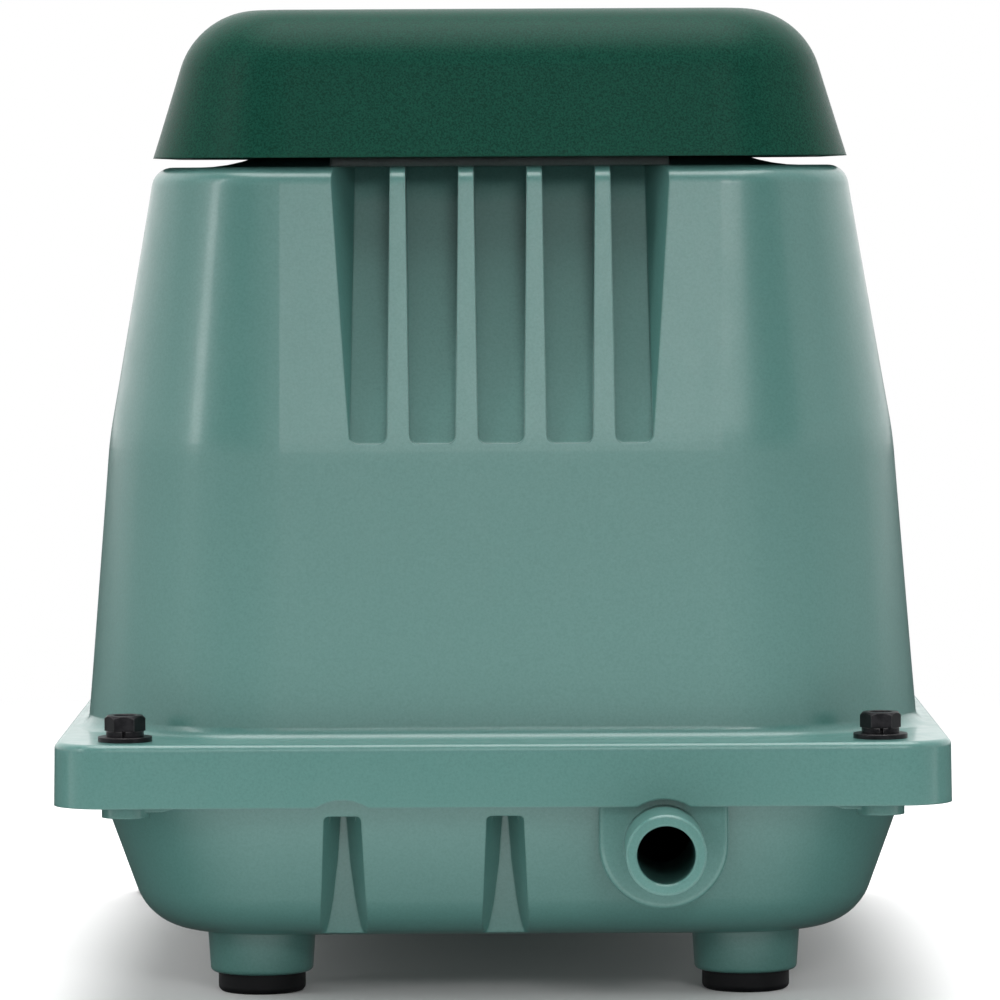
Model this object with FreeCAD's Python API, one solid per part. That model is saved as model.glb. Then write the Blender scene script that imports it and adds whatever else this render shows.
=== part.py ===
import FreeCAD, Part
import math
import os

from FreeCAD import Vector

# Linear diaphragm air pump. Millimetres, +Z up. X runs across the pump and Y along it, with the air
# outlet at the front, on -Y. The origin is under the middle of the pump. Heights here are measured
# from a datum above the ground by the feet's drop, and main() lifts the parts onto the ground.

# ---- driving dimensions: casings ----
FLANGE_X = 101.2  # half width of the flange skirt
FLANGE_Y = 120.0  # half length of the flange skirt
FLANGE_R = 12.0  # its corner radius
SKIRT_Z = 45.75  # lower edge of the skirt
FLANGE_Z = 60.1  # top of the flange
FLANGE_T = 4.0  # thickness of the flange plate
SKIRT_T = 3.5
FLANGE_DRAFT = 0.25  # how much smaller the flange is at its top

HOUSING_AXIS = (50.0, 63.0)  # centre of the housing's corner rounding
HOUSING_BASE_R = 46.1  # corner radius at the flange
HOUSING_CREASE_R = 40.65  # and where the walls start to lean in more
HOUSING_TOP_R = 29.8
CREASE_Z = 126.7
CREASE_BLEND = 4.0  # half height of the soft bend at the crease
HOUSING_Z = 189.0
HOUSING_EDGE_R = 4.8
HOUSING_FOOT_R = 3.0  # fillet between housing wall and flange
WALL = 4.0  # wall of both castings

TANK_AXIS = (52.75, 71.8)
TANK_TOP_R = 40.0  # corner radius where the wall meets the skirt's lower edge
TANK_LEAN = 0.362  # inset per unit of height
TANK_Z = 14.0  # underside of the tank
TANK_EDGE_R = 14.0
RIM_Z = 49.5  # underside of the tank's rim flange
RIM_TOP = 54.7
RIM_GAP = 0.5  # between the rim and the inside of the skirt
SHELF_Z = 51.5  # the ledge that the tank lid sits on
GASKET_T = 1.0

COVER_AXIS = (48.3, 60.4)
COVER_R = 32.0  # corner radius at the rim
COVER_LEAN = 0.3115
COVER_Z = 191.1  # rim of the filter cover
COVER_TOP = 225.2
COVER_EDGE_R = 18.8
COVER_T = 2.6
COVER_BOSS_R = 7.5  # boss around the cover screw
FILTER_TOP = 206.0

# ---- driving dimensions: cooling recess in each end of the housing ----
RIB_PITCH = 15.5
RIB_W_LOW = 5.1
RIB_W_TOP = 3.45
RECESS_Z = 126.5  # bottom of the recess
RECESS_BACK_X = 33.2  # half width of the back wall at the top
RECESS_X_LOW = 34.3  # half width of the mouth at the bottom
RECESS_X_TOP = 38.9  # and at the top
RECESS_Y_LOW = 101.4  # back wall at the bottom
RECESS_Y_TOP = 77.9  # and at the top
RECESS_CORNER = 2.0

# ---- driving dimensions: filter tray ----
TRAY_X = 50.0
TRAY_Y = 67.0
TRAY_R = 10.0
TRAY_Z = 176.0  # top of the tray's floor
TRAY_T = 3.5
TRAY_LIP_Z = 192.6
LIP_SWEEP_R = 40.0  # hollow sweep from the housing's top up to the lip
POST_R = 6.0

# ---- driving dimensions: tank front ----
OUTLET_X = 36.0
OUTLET_Z = 36.8
OUTLET_R = 9.0
OUTLET_BORE_R = 6.5
OUTLET_Y = 138.0  # distance of the nozzle's mouth from the middle
OUTLET_PAD_R = 14.5
RELIEF_R = 10.7  # arc cut in the skirt's lower edge over each outlet position
FLUTE_XS = (-36.2, 0.45)
FLUTE_TOP_Z = 43.0
FLUTE_LOW_Z = 14.8
FLUTE_BACK_Y = 99.2  # distance of its back from the middle, at the top
FLUTE_BACK_LEAN = 0.15
FLUTE_MOUTH = 4.2  # half width of its mouth at the top
FLUTE_MOUTH_LOW = 5.45  # and at the tank's underside
FLUTE_CORNER = 1.3

# ---- driving dimensions: feet and flange bolts ----
FOOT_X = 55.8
FOOT_Y = 75.0
FOOT_DROP = 0.7  # how far the feet reach below the datum
FOOT_BOSS_R = 11.75
FOOT_BOSS_TAPER = 0.07
FOOT_BOSS_Z = 3.9
FOOT_R = 10.05
BOLT_X = 85.0
BOLT_Y = 109.0
BOLT_R = 2.5
BOLT_HEAD_AF = 8.0
BOLT_HEAD_H = 3.5
LUG_R = 5.4
LUG_Z = 43.0
LUG_WEB = 14.0  # reach of the web beside each lug

# ---- driving dimensions: pump unit ----
LID_X = 86.0
LID_Y = 106.0
LID_R = 34.0
LID_T = 3.0
AXIS_Z = 112.0  # height of the armature's axis
PLATE = 44.0  # half size of the square end plates and chamber blocks
PLATE_R = 10.0
FRAME_Y = (40.0, 45.0)  # end plate of the motor frame
DIAPHRAGM_Y = (45.0, 47.0)
BLOCK_Y = (47.0, 64.0)
VALVE_WALL = 3.0
VALVE_COVER_Y = (64.8, 78.0)
CHAMBER_R = 33.0
SCREW_AT = 37.0  # chamber screws, off the axis both ways
VALVE_AT = 16.0  # valve ports, above and below the axis
PORT_R = 6.0
FLAP_R = 9.0
FLAP_T = 0.8
FRAME_Z = 67.5  # underside of the motor frame
FRAME_T = 4.0
MOUNT_X = 58.0
MOUNT_Y = 34.0
HOSE_Y = 72.6
CORE_Z = 17.0  # half height of the iron core
CORE_BACK = (36.0, 46.0)
CORE_TIP_X = 9.0
CORE_LEG_Y = 7.0
CORE_OUTER_Y = (20.5, 28.0)
MAGNET_X = 6.0
CORD_R = 3.5
CORD_Z = 61.2  # where the cord passes the bushing
CLAMP_Y = 83.0
SWITCH_Y = -34.5  # pivot of the stop switch's lever
PIVOT_Z = AXIS_Z + 33.0

# ---- driving dimensions: the cord's hank and plug, behind the pump ----
HANK_LEFT = -84.0
HANK_RIGHT = 8.0
HANK_NEAR = 115.0
HANK_FAR = 134.0
HANK_Z = 4.3
HANK_PITCH = 7.3
PLUG_X = 44.0
PLUG_Z = 9.7
BLADE_Y = 6.35  # half the spacing of the plug's blades

LID_TOP = SHELF_Z + GASKET_T + LID_T
ENDS = (-1, 1)  # front, rear
SIDES = (-1, 1)  # left, right


# ---- helpers ----
def box(x0, x1, y0, y1, z0, z1):
    return Part.makeBox(x1 - x0, y1 - y0, z1 - z0, Vector(x0, y0, z0))


def cyl(x, y, z0, z1, r, r_top=None):
    if r_top is None or r_top == r:
        return Part.makeCylinder(r, z1 - z0, Vector(x, y, z0))
    return Part.makeCone(r, r_top, z1 - z0, Vector(x, y, z0))


def cyl_y(x, z, y0, y1, r):
    """A cylinder along Y between two Y positions given in any order."""
    return Part.makeCylinder(r, abs(y1 - y0), Vector(x, min(y0, y1), z), Vector(0, 1, 0))


def cyl_x(y, z, x0, x1, r):
    return Part.makeCylinder(r, abs(x1 - x0), Vector(min(x0, x1), y, z), Vector(1, 0, 0))


def span_y(end, near, far):
    """The lower and upper Y of a stretch between two distances from the middle, at one end."""
    return sorted((end * near, end * far))


def rounded_wire(hx, hy, r, z):
    """A rounded rectangle, centred on the Z axis."""
    edges = []
    corners = [(1, 1, 0), (-1, 1, 90), (-1, -1, 180), (1, -1, 270)]
    ends = []
    for sx, sy, turn in corners:
        cx, cy = sx * (hx - r), sy * (hy - r)
        a, m, b = (math.radians(turn + d) for d in (0, 45, 90))
        points = [Vector(cx + r * math.cos(t), cy + r * math.sin(t), z) for t in (a, m, b)]
        ends.append((points[0], points[2]))
        edges.append(Part.Arc(*points).toShape())
    wire = []
    for i, arc in enumerate(edges):
        wire.append(arc)
        wire.append(Part.makeLine(ends[i][1], ends[(i + 1) % 4][0]))
    return Part.Wire(wire)


def slab(hx, hy, r, z0, z1):
    face = Part.Face(rounded_wire(hx, hy, r, z0))
    return face.extrude(Vector(0, 0, z1 - z0))


def leaning_block(axis, levels):
    """A block whose corners keep their axis while their radius follows (z, radius) levels."""
    wires = [rounded_wire(axis[0] + r, axis[1] + r, r, z) for z, r in levels]
    return Part.makeLoft(wires, True, True)


def edges_at(shape, z, inside=None, outside=None):
    """Edges lying flat at a height, optionally only those inside or outside a half width."""
    found = []
    for edge in shape.Edges:
        b = edge.BoundBox
        if abs(b.ZMin - z) > 0.01 or abs(b.ZMax - z) > 0.01:
            continue
        reach = max(abs(b.XMin), abs(b.XMax), abs(b.YMin) - 13, abs(b.YMax) - 13)
        if inside is not None and reach > inside:
            continue
        if outside is not None and reach < outside:
            continue
        found.append(edge)
    return found


def fused(shapes):
    whole = shapes[0].multiFuse(shapes[1:]) if len(shapes) > 1 else shapes[0]
    return whole.removeSplitter()


def group(shapes):
    """Separate solids that share one node."""
    return Part.makeCompound(shapes)


def mirror_y(shape):
    return shape.mirror(Vector(0, 0, 0), Vector(0, 1, 0))


def mirror_x(shape):
    return shape.mirror(Vector(0, 0, 0), Vector(1, 0, 0))


def hexagon(x, y, z0, z1, across):
    radius = across / math.sqrt(3)
    points = [
        Vector(x + radius * math.cos(math.radians(60 * i)), y + radius * math.sin(math.radians(60 * i)), z0)
        for i in range(7)
    ]
    return Part.Face(Part.makePolygon(points)).extrude(Vector(0, 0, z1 - z0))


def pipe(points, r):
    """A round cord or wire along a smooth curve through points."""
    curve = Part.BSplineCurve()
    curve.interpolate([Vector(*p) for p in points])
    path = Part.Wire(curve.toShape())
    start = Vector(*points[0])
    direction = curve.tangent(curve.FirstParameter)[0]
    ring = Part.Wire(Part.makeCircle(r, start, direction))
    return path.makePipeShell([ring], True, True)


class Route:
    """The middle line of a cord, laid end to end as straights and arcs that run smoothly on."""

    def __init__(self, start, heading):
        self.at = start
        self.heading = heading
        self.start = (Vector(start), Vector(heading))
        self.edges = []

    def ahead(self, length):
        end = self.at + self.heading * length
        self.edges.append(Part.makeLine(self.at, end))
        self.at = end

    def turn(self, axis, radius, degrees):
        """An arc about an axis square to the heading."""
        toward = axis.cross(self.heading) * (radius if degrees > 0 else -radius)
        centre = self.at + toward
        half = FreeCAD.Rotation(axis, degrees / 2)
        full = FreeCAD.Rotation(axis, degrees)
        arm = self.at - centre
        middle, end = centre + half.multVec(arm), centre + full.multVec(arm)
        self.edges.append(Part.Arc(self.at, middle, end).toShape())
        self.at = end
        self.heading = full.multVec(self.heading)

    def step(self, axis, radius, offset):
        """Two opposite arcs that shift the line sideways; returns the length they take."""
        angle = math.degrees(math.acos(1 - offset / (2 * abs(radius))))
        way = 1 if radius > 0 else -1
        self.turn(axis, abs(radius), way * angle)
        self.turn(axis, abs(radius), -way * angle)
        return 2 * abs(radius) * math.sin(math.radians(angle))

    def swept(self, r):
        ring = Part.Wire(Part.makeCircle(r, *self.start))
        return Part.Wire(self.edges).makePipeShell([ring], True, False)


def pan_head_screw(x, y, z, head_r, head_h, shank_r, length):
    """A cross-recessed pan head screw pointing down, its head's underside at z."""
    head = cyl(x, y, z, z + head_h, head_r)
    head = head.makeFillet(head_h * 0.45, edges_of_top(head, z + head_h))
    cross = [
        box(x - head_r * 0.6, x + head_r * 0.6, y - 0.45, y + 0.45, z + head_h * 0.4, z + head_h + 1),
        box(x - 0.45, x + 0.45, y - head_r * 0.6, y + head_r * 0.6, z + head_h * 0.4, z + head_h + 1),
    ]
    return head.fuse(cyl(x, y, z - length, z, shank_r)).cut(fused(cross)).removeSplitter()


def edges_of_top(shape, z):
    return [e for e in shape.Edges if abs(e.BoundBox.ZMin - z) < 1e-6 and abs(e.BoundBox.ZMax - z) < 1e-6]


# ---- casings ----
def housing_levels(inset=0.0):
    """(z, radius) of the housing's wall, with a soft bend at the crease."""
    low = (HOUSING_BASE_R - HOUSING_CREASE_R) / (CREASE_Z - FLANGE_Z)
    high = (HOUSING_CREASE_R - HOUSING_TOP_R) / (HOUSING_Z - CREASE_Z)
    levels = [(SKIRT_Z, HOUSING_BASE_R + low * (FLANGE_Z - SKIRT_Z) - inset)]
    steps = 4
    for i in range(steps + 1):
        t = -1 + 2 * i / steps
        lean = low + (high - low) * (t + 1) / 4
        z = CREASE_Z + CREASE_BLEND * t
        radius = HOUSING_CREASE_R + low * CREASE_BLEND - lean * CREASE_BLEND * (t + 1)
        levels.append((z, radius - inset))
    levels.append((HOUSING_Z, HOUSING_TOP_R - inset))
    return levels


def wall_y(z, inset=0.0):
    """Distance of the housing's end wall from the middle at a height."""
    levels = housing_levels(inset)
    for (z0, r0), (z1, r1) in zip(levels, levels[1:]):
        if z <= z1:
            return HOUSING_AXIS[1] + r0 + (r1 - r0) * (z - z0) / (z1 - z0)
    return HOUSING_AXIS[1] + levels[-1][1]


def recess_wedge(back_shift, z_low, half_x):
    """Everything in front of the recess's sloping back wall, moved inwards by back_shift."""
    slope = (RECESS_Y_LOW - RECESS_Y_TOP) / (HOUSING_Z - RECESS_Z)
    low = RECESS_Y_LOW - back_shift - slope * (z_low - RECESS_Z)
    top_z = HOUSING_Z + 6
    top = RECESS_Y_TOP - back_shift - slope * (top_z - HOUSING_Z)
    points = [
        Vector(-half_x, -low, z_low),
        Vector(-half_x, -top, top_z),
        Vector(-half_x, -FLANGE_Y - 10, top_z),
        Vector(-half_x, -FLANGE_Y - 10, z_low),
        Vector(-half_x, -low, z_low),
    ]
    return Part.Face(Part.makePolygon(points)).extrude(Vector(2 * half_x, 0, 0))


def pocket_outline(x0_low, x1_low, x0_top, x1_top):
    """One pocket seen from the front, with rounded lower corners, as a prism along Y."""
    top_z = HOUSING_Z + 6
    grow = (top_z - RECESS_Z) / (HOUSING_Z - RECESS_Z)
    x0_top = x0_low + (x0_top - x0_low) * grow
    x1_top = x1_low + (x1_top - x1_low) * grow
    y = -FLANGE_Y
    points = [
        Vector(x0_low, y, RECESS_Z),
        Vector(x1_low, y, RECESS_Z),
        Vector(x1_top, y, top_z),
        Vector(x0_top, y, top_z),
        Vector(x0_low, y, RECESS_Z),
    ]
    prism = Part.Face(Part.makePolygon(points)).extrude(Vector(0, FLANGE_Y - 40, 0))
    low = [e for e in edges_at(prism, RECESS_Z) if e.BoundBox.YLength > 10]
    return prism.makeFillet(RECESS_CORNER, low)


def recess_cheek(side):
    """The flared outer side of the recess, narrow at the back and wide at the mouth."""
    wires = []
    for z, mouth in ((RECESS_Z + 1.0, RECESS_X_LOW), (HOUSING_Z + 6, RECESS_X_TOP + 0.45)):
        front = wall_y(z)
        slope = (RECESS_Y_LOW - RECESS_Y_TOP) / (HOUSING_Z - RECESS_Z)
        back = RECESS_Y_LOW - slope * (z - RECESS_Z)
        flare = (mouth - RECESS_BACK_X) / (front - back)
        reach = front + 4
        outline = [
            (RECESS_BACK_X - 2, back),
            (RECESS_BACK_X, back),
            (RECESS_BACK_X + flare * (reach - back), reach),
            (RECESS_BACK_X - 2, reach),
        ]
        points = [Vector(side * x, -y, z) for x, y in outline]
        wires.append(Part.makePolygon(points + points[:1]))
    return Part.makeLoft(wires, True, True)


def recess_cut():
    """The five pockets between four ribs, at the front end."""
    rib_xs = [(i - 1.5) * RIB_PITCH for i in range(4)]
    low = [x + side * RIB_W_LOW / 2 for x in rib_xs for side in SIDES]
    top = [x + side * RIB_W_TOP / 2 for x in rib_xs for side in SIDES]
    low = [-RECESS_X_LOW] + low + [RECESS_X_LOW]
    top = [-RECESS_BACK_X] + top + [RECESS_BACK_X]
    wedge = recess_wedge(0, RECESS_Z - 1, RECESS_X_TOP + 5)
    pockets = []
    for i in range(0, len(low), 2):
        prism = pocket_outline(low[i], low[i + 1], top[i], top[i + 1])
        pockets.append(prism.common(wedge))
    cheeks = [recess_cheek(side) for side in SIDES]
    return pockets + cheeks


def upper_housing():
    body = leaning_block(HOUSING_AXIS, housing_levels())
    flange_levels = [(SKIRT_Z, 0.0), (FLANGE_Z, FLANGE_DRAFT)]
    flange = Part.makeLoft(
        [rounded_wire(FLANGE_X - d, FLANGE_Y - d, FLANGE_R - d, z) for z, d in flange_levels], True, True
    )
    outer = fused([body, flange])
    outer = outer.makeFillet(HOUSING_EDGE_R, edges_at(outer, HOUSING_Z))
    foot = edges_at(outer, FLANGE_Z, inside=HOUSING_AXIS[0] + HOUSING_BASE_R + 1)
    outer = outer.makeFillet(HOUSING_FOOT_R, foot)
    outer = outer.makeFillet(1.5, edges_at(outer, FLANGE_Z, outside=FLANGE_X - 1))
    # hollow, leaving the recess backing and the tray standing in it
    cavity = leaning_block(HOUSING_AXIS, housing_levels(WALL))
    cavity = cavity.common(box(-200, 200, -200, 200, SKIRT_Z - 1, HOUSING_Z - WALL))
    backing = recess_wedge(WALL, RECESS_Z - WALL, RECESS_X_TOP + WALL)
    tray_block = slab(TRAY_X + TRAY_T, TRAY_Y + TRAY_T, TRAY_R + TRAY_T, TRAY_Z - TRAY_T, HOUSING_Z)
    cavity = cavity.cut(backing).cut(mirror_y(backing)).cut(tray_block)
    skirt_room = slab(
        FLANGE_X - SKIRT_T, FLANGE_Y - SKIRT_T, FLANGE_R - SKIRT_T, SKIRT_Z - 1, FLANGE_Z - FLANGE_T
    )
    shell = outer.cut(cavity).cut(skirt_room)
    shell = shell.fuse(tray_lip())
    shell = shell.cut(slab(TRAY_X, TRAY_Y, TRAY_R, TRAY_Z, TRAY_LIP_Z + 1))
    post = cyl(0, 0, TRAY_Z - 1, TRAY_LIP_Z, POST_R)
    shell = shell.fuse(post)
    for cut in [over_ribs()] + recess_cut():
        shell = shell.cut(cut).cut(mirror_y(cut))
    shell = shell.cut(fused(housing_openings()))
    shell = shell.fuse(cord_arch()).cut(cord_notch())
    return shell.removeSplitter()


def tray_lip():
    """The tray's raised lip, with a hollow sweep up to it from the housing's top."""
    rise = TRAY_LIP_Z - HOUSING_Z
    full = math.acos(1 - rise / LIP_SWEEP_R)
    steps = 5
    wires = []
    for i in range(steps + 1):
        angle = full * i / steps
        out = LIP_SWEEP_R * (math.sin(full) - math.sin(angle)) + TRAY_T
        z = HOUSING_Z + LIP_SWEEP_R * (1 - math.cos(angle))
        wires.append(rounded_wire(TRAY_X + out, TRAY_Y + out, TRAY_R + out, z))
    sweep = Part.makeLoft(wires, True, True)
    foot = slab(TRAY_X + TRAY_T, TRAY_Y + TRAY_T, TRAY_R + TRAY_T, HOUSING_Z - 5, HOUSING_Z + 0.5)
    return sweep.fuse(foot)


def over_ribs():
    """The way from the recess to the tray's lip, level with the ribs' tops."""
    return box(-RECESS_X_TOP, RECESS_X_TOP, -FLANGE_Y, -(TRAY_Y + TRAY_T), HOUSING_Z, TRAY_LIP_Z + 1)


def housing_openings():
    """Air slots in the tray's floor, the cover screw's hole, bolt holes and the skirt's relief arcs."""
    cuts = []
    for side in SIDES:
        for i in range(5):
            y = (i - 2) * 24
            cuts.append(box(side * 31 - 15, side * 31 + 15, y - 4, y + 4, TRAY_Z - TRAY_T - 1, TRAY_Z + 1))
    cuts.append(cyl(0, 0, TRAY_Z + 1, TRAY_LIP_Z + 1, BOLT_R + 0.1))
    for sx in SIDES:
        for sy in ENDS:
            cuts.append(cyl(sx * BOLT_X, sy * BOLT_Y, FLANGE_Z - FLANGE_T - 1, FLANGE_Z + 1, BOLT_R + 0.3))
    for x in (-OUTLET_X, OUTLET_X):
        cuts.append(cyl_y(x, OUTLET_Z, -FLANGE_Y - 1, -FLANGE_Y + SKIRT_T + 1, RELIEF_R))
    return cuts


def arch(half, top_z, y0, y1, low_z):
    """A round-topped block along Y, centred on X = 0."""
    block = box(-half, half, y0, y1, low_z, top_z - half)
    crown = cyl_y(0, top_z - half, y0, y1, half).common(box(-half, half, y0, y1, low_z, top_z + 1))
    return block.fuse(crown).removeSplitter()


def cord_arch():
    """The humped tunnel for the cord at the foot of the rear wall."""
    return arch(11.0, CORD_Z + 11.0, wall_y(FLANGE_Z) - 1, FLANGE_Y - 0.5, FLANGE_Z - 1)


def cord_notch():
    return arch(7.5, CORD_Z + 7.5, wall_y(CORD_Z) - WALL - 3, FLANGE_Y + 1, SKIRT_Z + 3)


def tank_radius(z):
    return TANK_TOP_R - (SKIRT_Z - z) * TANK_LEAN


def tank_front(z):
    """Distance of the tank's front surface from the middle, rounded lower edge included."""
    wall = TANK_AXIS[1] + tank_radius(z)
    centre_z = TANK_Z + TANK_EDGE_R
    tilt = math.atan(TANK_LEAN)
    centre = TANK_AXIS[1] + tank_radius(centre_z) - TANK_EDGE_R / math.cos(tilt)
    if z > centre_z - TANK_EDGE_R * math.sin(tilt):
        return wall
    return centre + math.sqrt(TANK_EDGE_R**2 - (centre_z - z) ** 2)


def flute(x):
    """An upright groove in the tank's front: a slender back between flared sides."""
    wires = []
    backs = {FLUTE_TOP_Z + 1.0: 0.5, 31.7: 1.4, 22.9: 2.5, 18.5: 3.3, 16.0: 3.9, FLUTE_LOW_Z: 4.2}
    for z, back in backs.items():
        mouth = flute_mouth(z)
        front = tank_front(z)
        deep = FLUTE_BACK_Y - (FLUTE_TOP_Z - z) * FLUTE_BACK_LEAN
        flare = (mouth - back) / (front - deep)
        beyond = mouth + flare * 3.0
        outline = [(-back, deep), (back, deep), (mouth, front), (beyond, front + 3.0)]
        outline += [(-beyond, front + 3.0), (-mouth, front)]
        points = [Vector(x + dx, -y, z) for dx, y in outline]
        wires.append(Part.makePolygon(points + points[:1]))
    return Part.makeLoft(wires, True, True).common(flute_front(x))


def flute_mouth(z):
    return FLUTE_MOUTH + (FLUTE_MOUTH_LOW - FLUTE_MOUTH) * (FLUTE_TOP_Z - z) / (FLUTE_TOP_Z - TANK_Z)


def flute_front(x):
    """The flute's outline from the front: a tapering block with rounded upper corners."""
    low, high = flute_mouth(TANK_Z - 4) + 0.01, FLUTE_MOUTH + 0.01
    corners = [(-high, FLUTE_TOP_Z), (high, FLUTE_TOP_Z), (low, TANK_Z - 4), (-low, TANK_Z - 4)]
    points = [Vector(x + dx, -FLANGE_Y, z) for dx, z in corners]
    prism = Part.Face(Part.makePolygon(points + points[:1])).extrude(Vector(0, 40, 0))
    upper = [e for e in edges_at(prism, FLUTE_TOP_Z) if e.BoundBox.YLength > 10]
    return prism.makeFillet(FLUTE_CORNER, upper)


def outlet_pad():
    """The round-bottomed pad, flush with the tank's rim, and the nozzle on it."""
    front = -(FLANGE_Y - SKIRT_T - RIM_GAP)
    back = -(TANK_AXIS[1] + tank_radius(TANK_Z) - 6)
    pad = cyl_y(OUTLET_X, OUTLET_Z, front, back, OUTLET_PAD_R)
    upper = box(OUTLET_X - OUTLET_PAD_R, OUTLET_X + OUTLET_PAD_R, front, back, OUTLET_Z, RIM_Z + 1)
    pad = pad.fuse(upper).removeSplitter()
    face = [e for e in pad.Edges if abs(e.BoundBox.YMax - front) < 1e-6]
    lower = [e for e in face if e.BoundBox.ZMin < RIM_Z]
    pad = pad.makeFillet(1.2, lower)
    nozzle = cyl_y(OUTLET_X, OUTLET_Z, -OUTLET_Y, front + 1, OUTLET_R)
    mouth = [e for e in nozzle.Edges if abs(e.BoundBox.YMax + OUTLET_Y) < 1e-6]
    nozzle = nozzle.makeChamfer(0.45, mouth)
    return pad.fuse(nozzle)


def tank():
    levels = [(TANK_Z, tank_radius(TANK_Z)), (RIM_Z + 1, tank_radius(RIM_Z + 1))]
    outer = leaning_block(TANK_AXIS, levels)
    outer = outer.makeFillet(TANK_EDGE_R, edges_at(outer, TANK_Z))
    inner_levels = [(z, tank_radius(z) - WALL) for z in (TANK_Z + WALL, RIM_TOP + 1)]
    room = leaning_block(TANK_AXIS, inner_levels)
    room = room.makeFillet(TANK_EDGE_R - WALL, edges_at(room, TANK_Z + WALL))
    reach = SKIRT_T + RIM_GAP
    rim = slab(FLANGE_X - reach, FLANGE_Y - reach, FLANGE_R - SKIRT_T, RIM_Z, RIM_TOP)
    shelf = slab(LID_X + 2, LID_Y + 2, LID_R, SHELF_Z - 6, SHELF_Z).cut(
        slab(LID_X - 13, LID_Y - 13, LID_R - 12, SHELF_Z - 7, SHELF_Z + 1)
    )
    solid = [outer, rim]
    for sx in SIDES:
        for sy in ENDS:
            solid.append(cyl(sx * BOLT_X, sy * BOLT_Y, LUG_Z, RIM_Z + 1, LUG_R))
            solid.append(lug_web(sx, sy * BOLT_Y))
            solid.append(foot_boss(sx * FOOT_X, sy * FOOT_Y))
    whole = fused(solid)
    pad = outlet_pad()
    whole = whole.fuse(pad)
    # the inside, less the shelf and the thickening behind the flutes and the outlet
    keep = [shelf]
    for x in FLUTE_XS:
        keep.append(box(x - 9, x + 9, -LID_Y, -84, TANK_Z, SHELF_Z - 3))
    keep.append(box(OUTLET_X - 13, OUTLET_X + 13, -LID_Y, -92, TANK_Z, SHELF_Z - 1))
    for sx in SIDES:
        for sy in ENDS:
            keep.append(cyl(sx * FOOT_X, sy * FOOT_Y, TANK_Z, TANK_Z + 12, 8.0))
    room = room.cut(slab(LID_X + 0.5, LID_Y + 0.5, LID_R + 0.5, SHELF_Z, RIM_TOP + 2))
    for block in keep:
        room = room.cut(block)
    whole = whole.cut(room)
    whole = whole.cut(slab(LID_X + 0.5, LID_Y + 0.5, LID_R + 0.5, SHELF_Z, RIM_TOP + 1))
    for x in FLUTE_XS:
        whole = whole.cut(flute(x))
    for cut in tank_openings():
        whole = whole.cut(cut)
    return whole.removeSplitter()


def foot_boss(x, y):
    top = TANK_Z + 3
    boss = cyl(x, y, FOOT_BOSS_Z, top, FOOT_BOSS_R, FOOT_BOSS_R + FOOT_BOSS_TAPER * (top - FOOT_BOSS_Z))
    return boss.makeFillet(1.1, edges_of_top(boss, FOOT_BOSS_Z))


def lug_web(side, y):
    """A shallow web under the rim, from a bolt lug towards the middle."""
    outline = [(BOLT_X, RIM_Z + 1), (BOLT_X, LUG_Z + 1.2), (BOLT_X - LUG_WEB * 0.6, LUG_Z + 1.3)]
    outline += [(BOLT_X - LUG_WEB, SKIRT_Z), (BOLT_X - LUG_WEB, RIM_Z + 1)]
    points = [Vector(side * x, y - 3.0, z) for x, z in outline]
    return Part.Face(Part.makePolygon(points + points[:1])).extrude(Vector(0, 6.0, 0))


def tank_openings():
    """Outlet bore, bolt and screw holes, foot sockets."""
    cuts = [cyl_y(OUTLET_X, OUTLET_Z, -OUTLET_Y - 1, -80, OUTLET_BORE_R)]
    mouth = Vector(OUTLET_X, -OUTLET_Y - 0.3, OUTLET_Z)
    bevel = Part.makeCone(OUTLET_BORE_R + 0.6, OUTLET_BORE_R - 0.1, 0.7, mouth, Vector(0, 1, 0))
    cuts.append(bevel)
    for sx in SIDES:
        for sy in ENDS:
            cuts.append(cyl(sx * BOLT_X, sy * BOLT_Y, LUG_Z + 2, RIM_TOP + 1, BOLT_R + 0.05))
            cuts.append(cyl(sx * FOOT_X, sy * FOOT_Y, FOOT_BOSS_Z - 1, FOOT_BOSS_Z + 6, 7.1))
            cuts.append(cyl(sx * FOOT_X, sy * FOOT_Y, FOOT_BOSS_Z, TANK_Z + 9, 2.05))
    for x, y in lid_screw_places():
        cuts.append(cyl(x, y, SHELF_Z - 5, SHELF_Z + 1, 2.05))
    return cuts


def lid_screw_places():
    places = []
    for sx in SIDES:
        for sy in ENDS:
            places.append((sx * 79.0, sy * 52.0))
            places.append((sx * 42.0, sy * 98.5))
    return places


def rubber_feet():
    feet = []
    for sx in SIDES:
        for sy in ENDS:
            x, y = sx * FOOT_X, sy * FOOT_Y
            foot = cyl(x, y, -FOOT_DROP, FOOT_BOSS_Z, FOOT_R)
            foot = foot.makeFillet(1.4, edges_of_top(foot, -FOOT_DROP))
            foot = foot.fuse(cyl(x, y, FOOT_BOSS_Z - 1, FOOT_BOSS_Z + 6, 7.0))
            foot = foot.cut(cyl(x, y, -1, 3.0, 4.4)).cut(cyl(x, y, 2, 20, 2.1))
            feet.append(foot.removeSplitter())
    return group(feet)


def foot_screws():
    screws = []
    for sx in SIDES:
        for sy in ENDS:
            screw = pan_head_screw(0, 0, 0, 4.0, 2.2, 2.0, 18.0)
            screw = screw.mirror(Vector(0, 0, 0), Vector(0, 0, 1))
            screw.translate(Vector(sx * FOOT_X, sy * FOOT_Y, 3.0))
            screws.append(screw)
    return group(screws)


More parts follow.
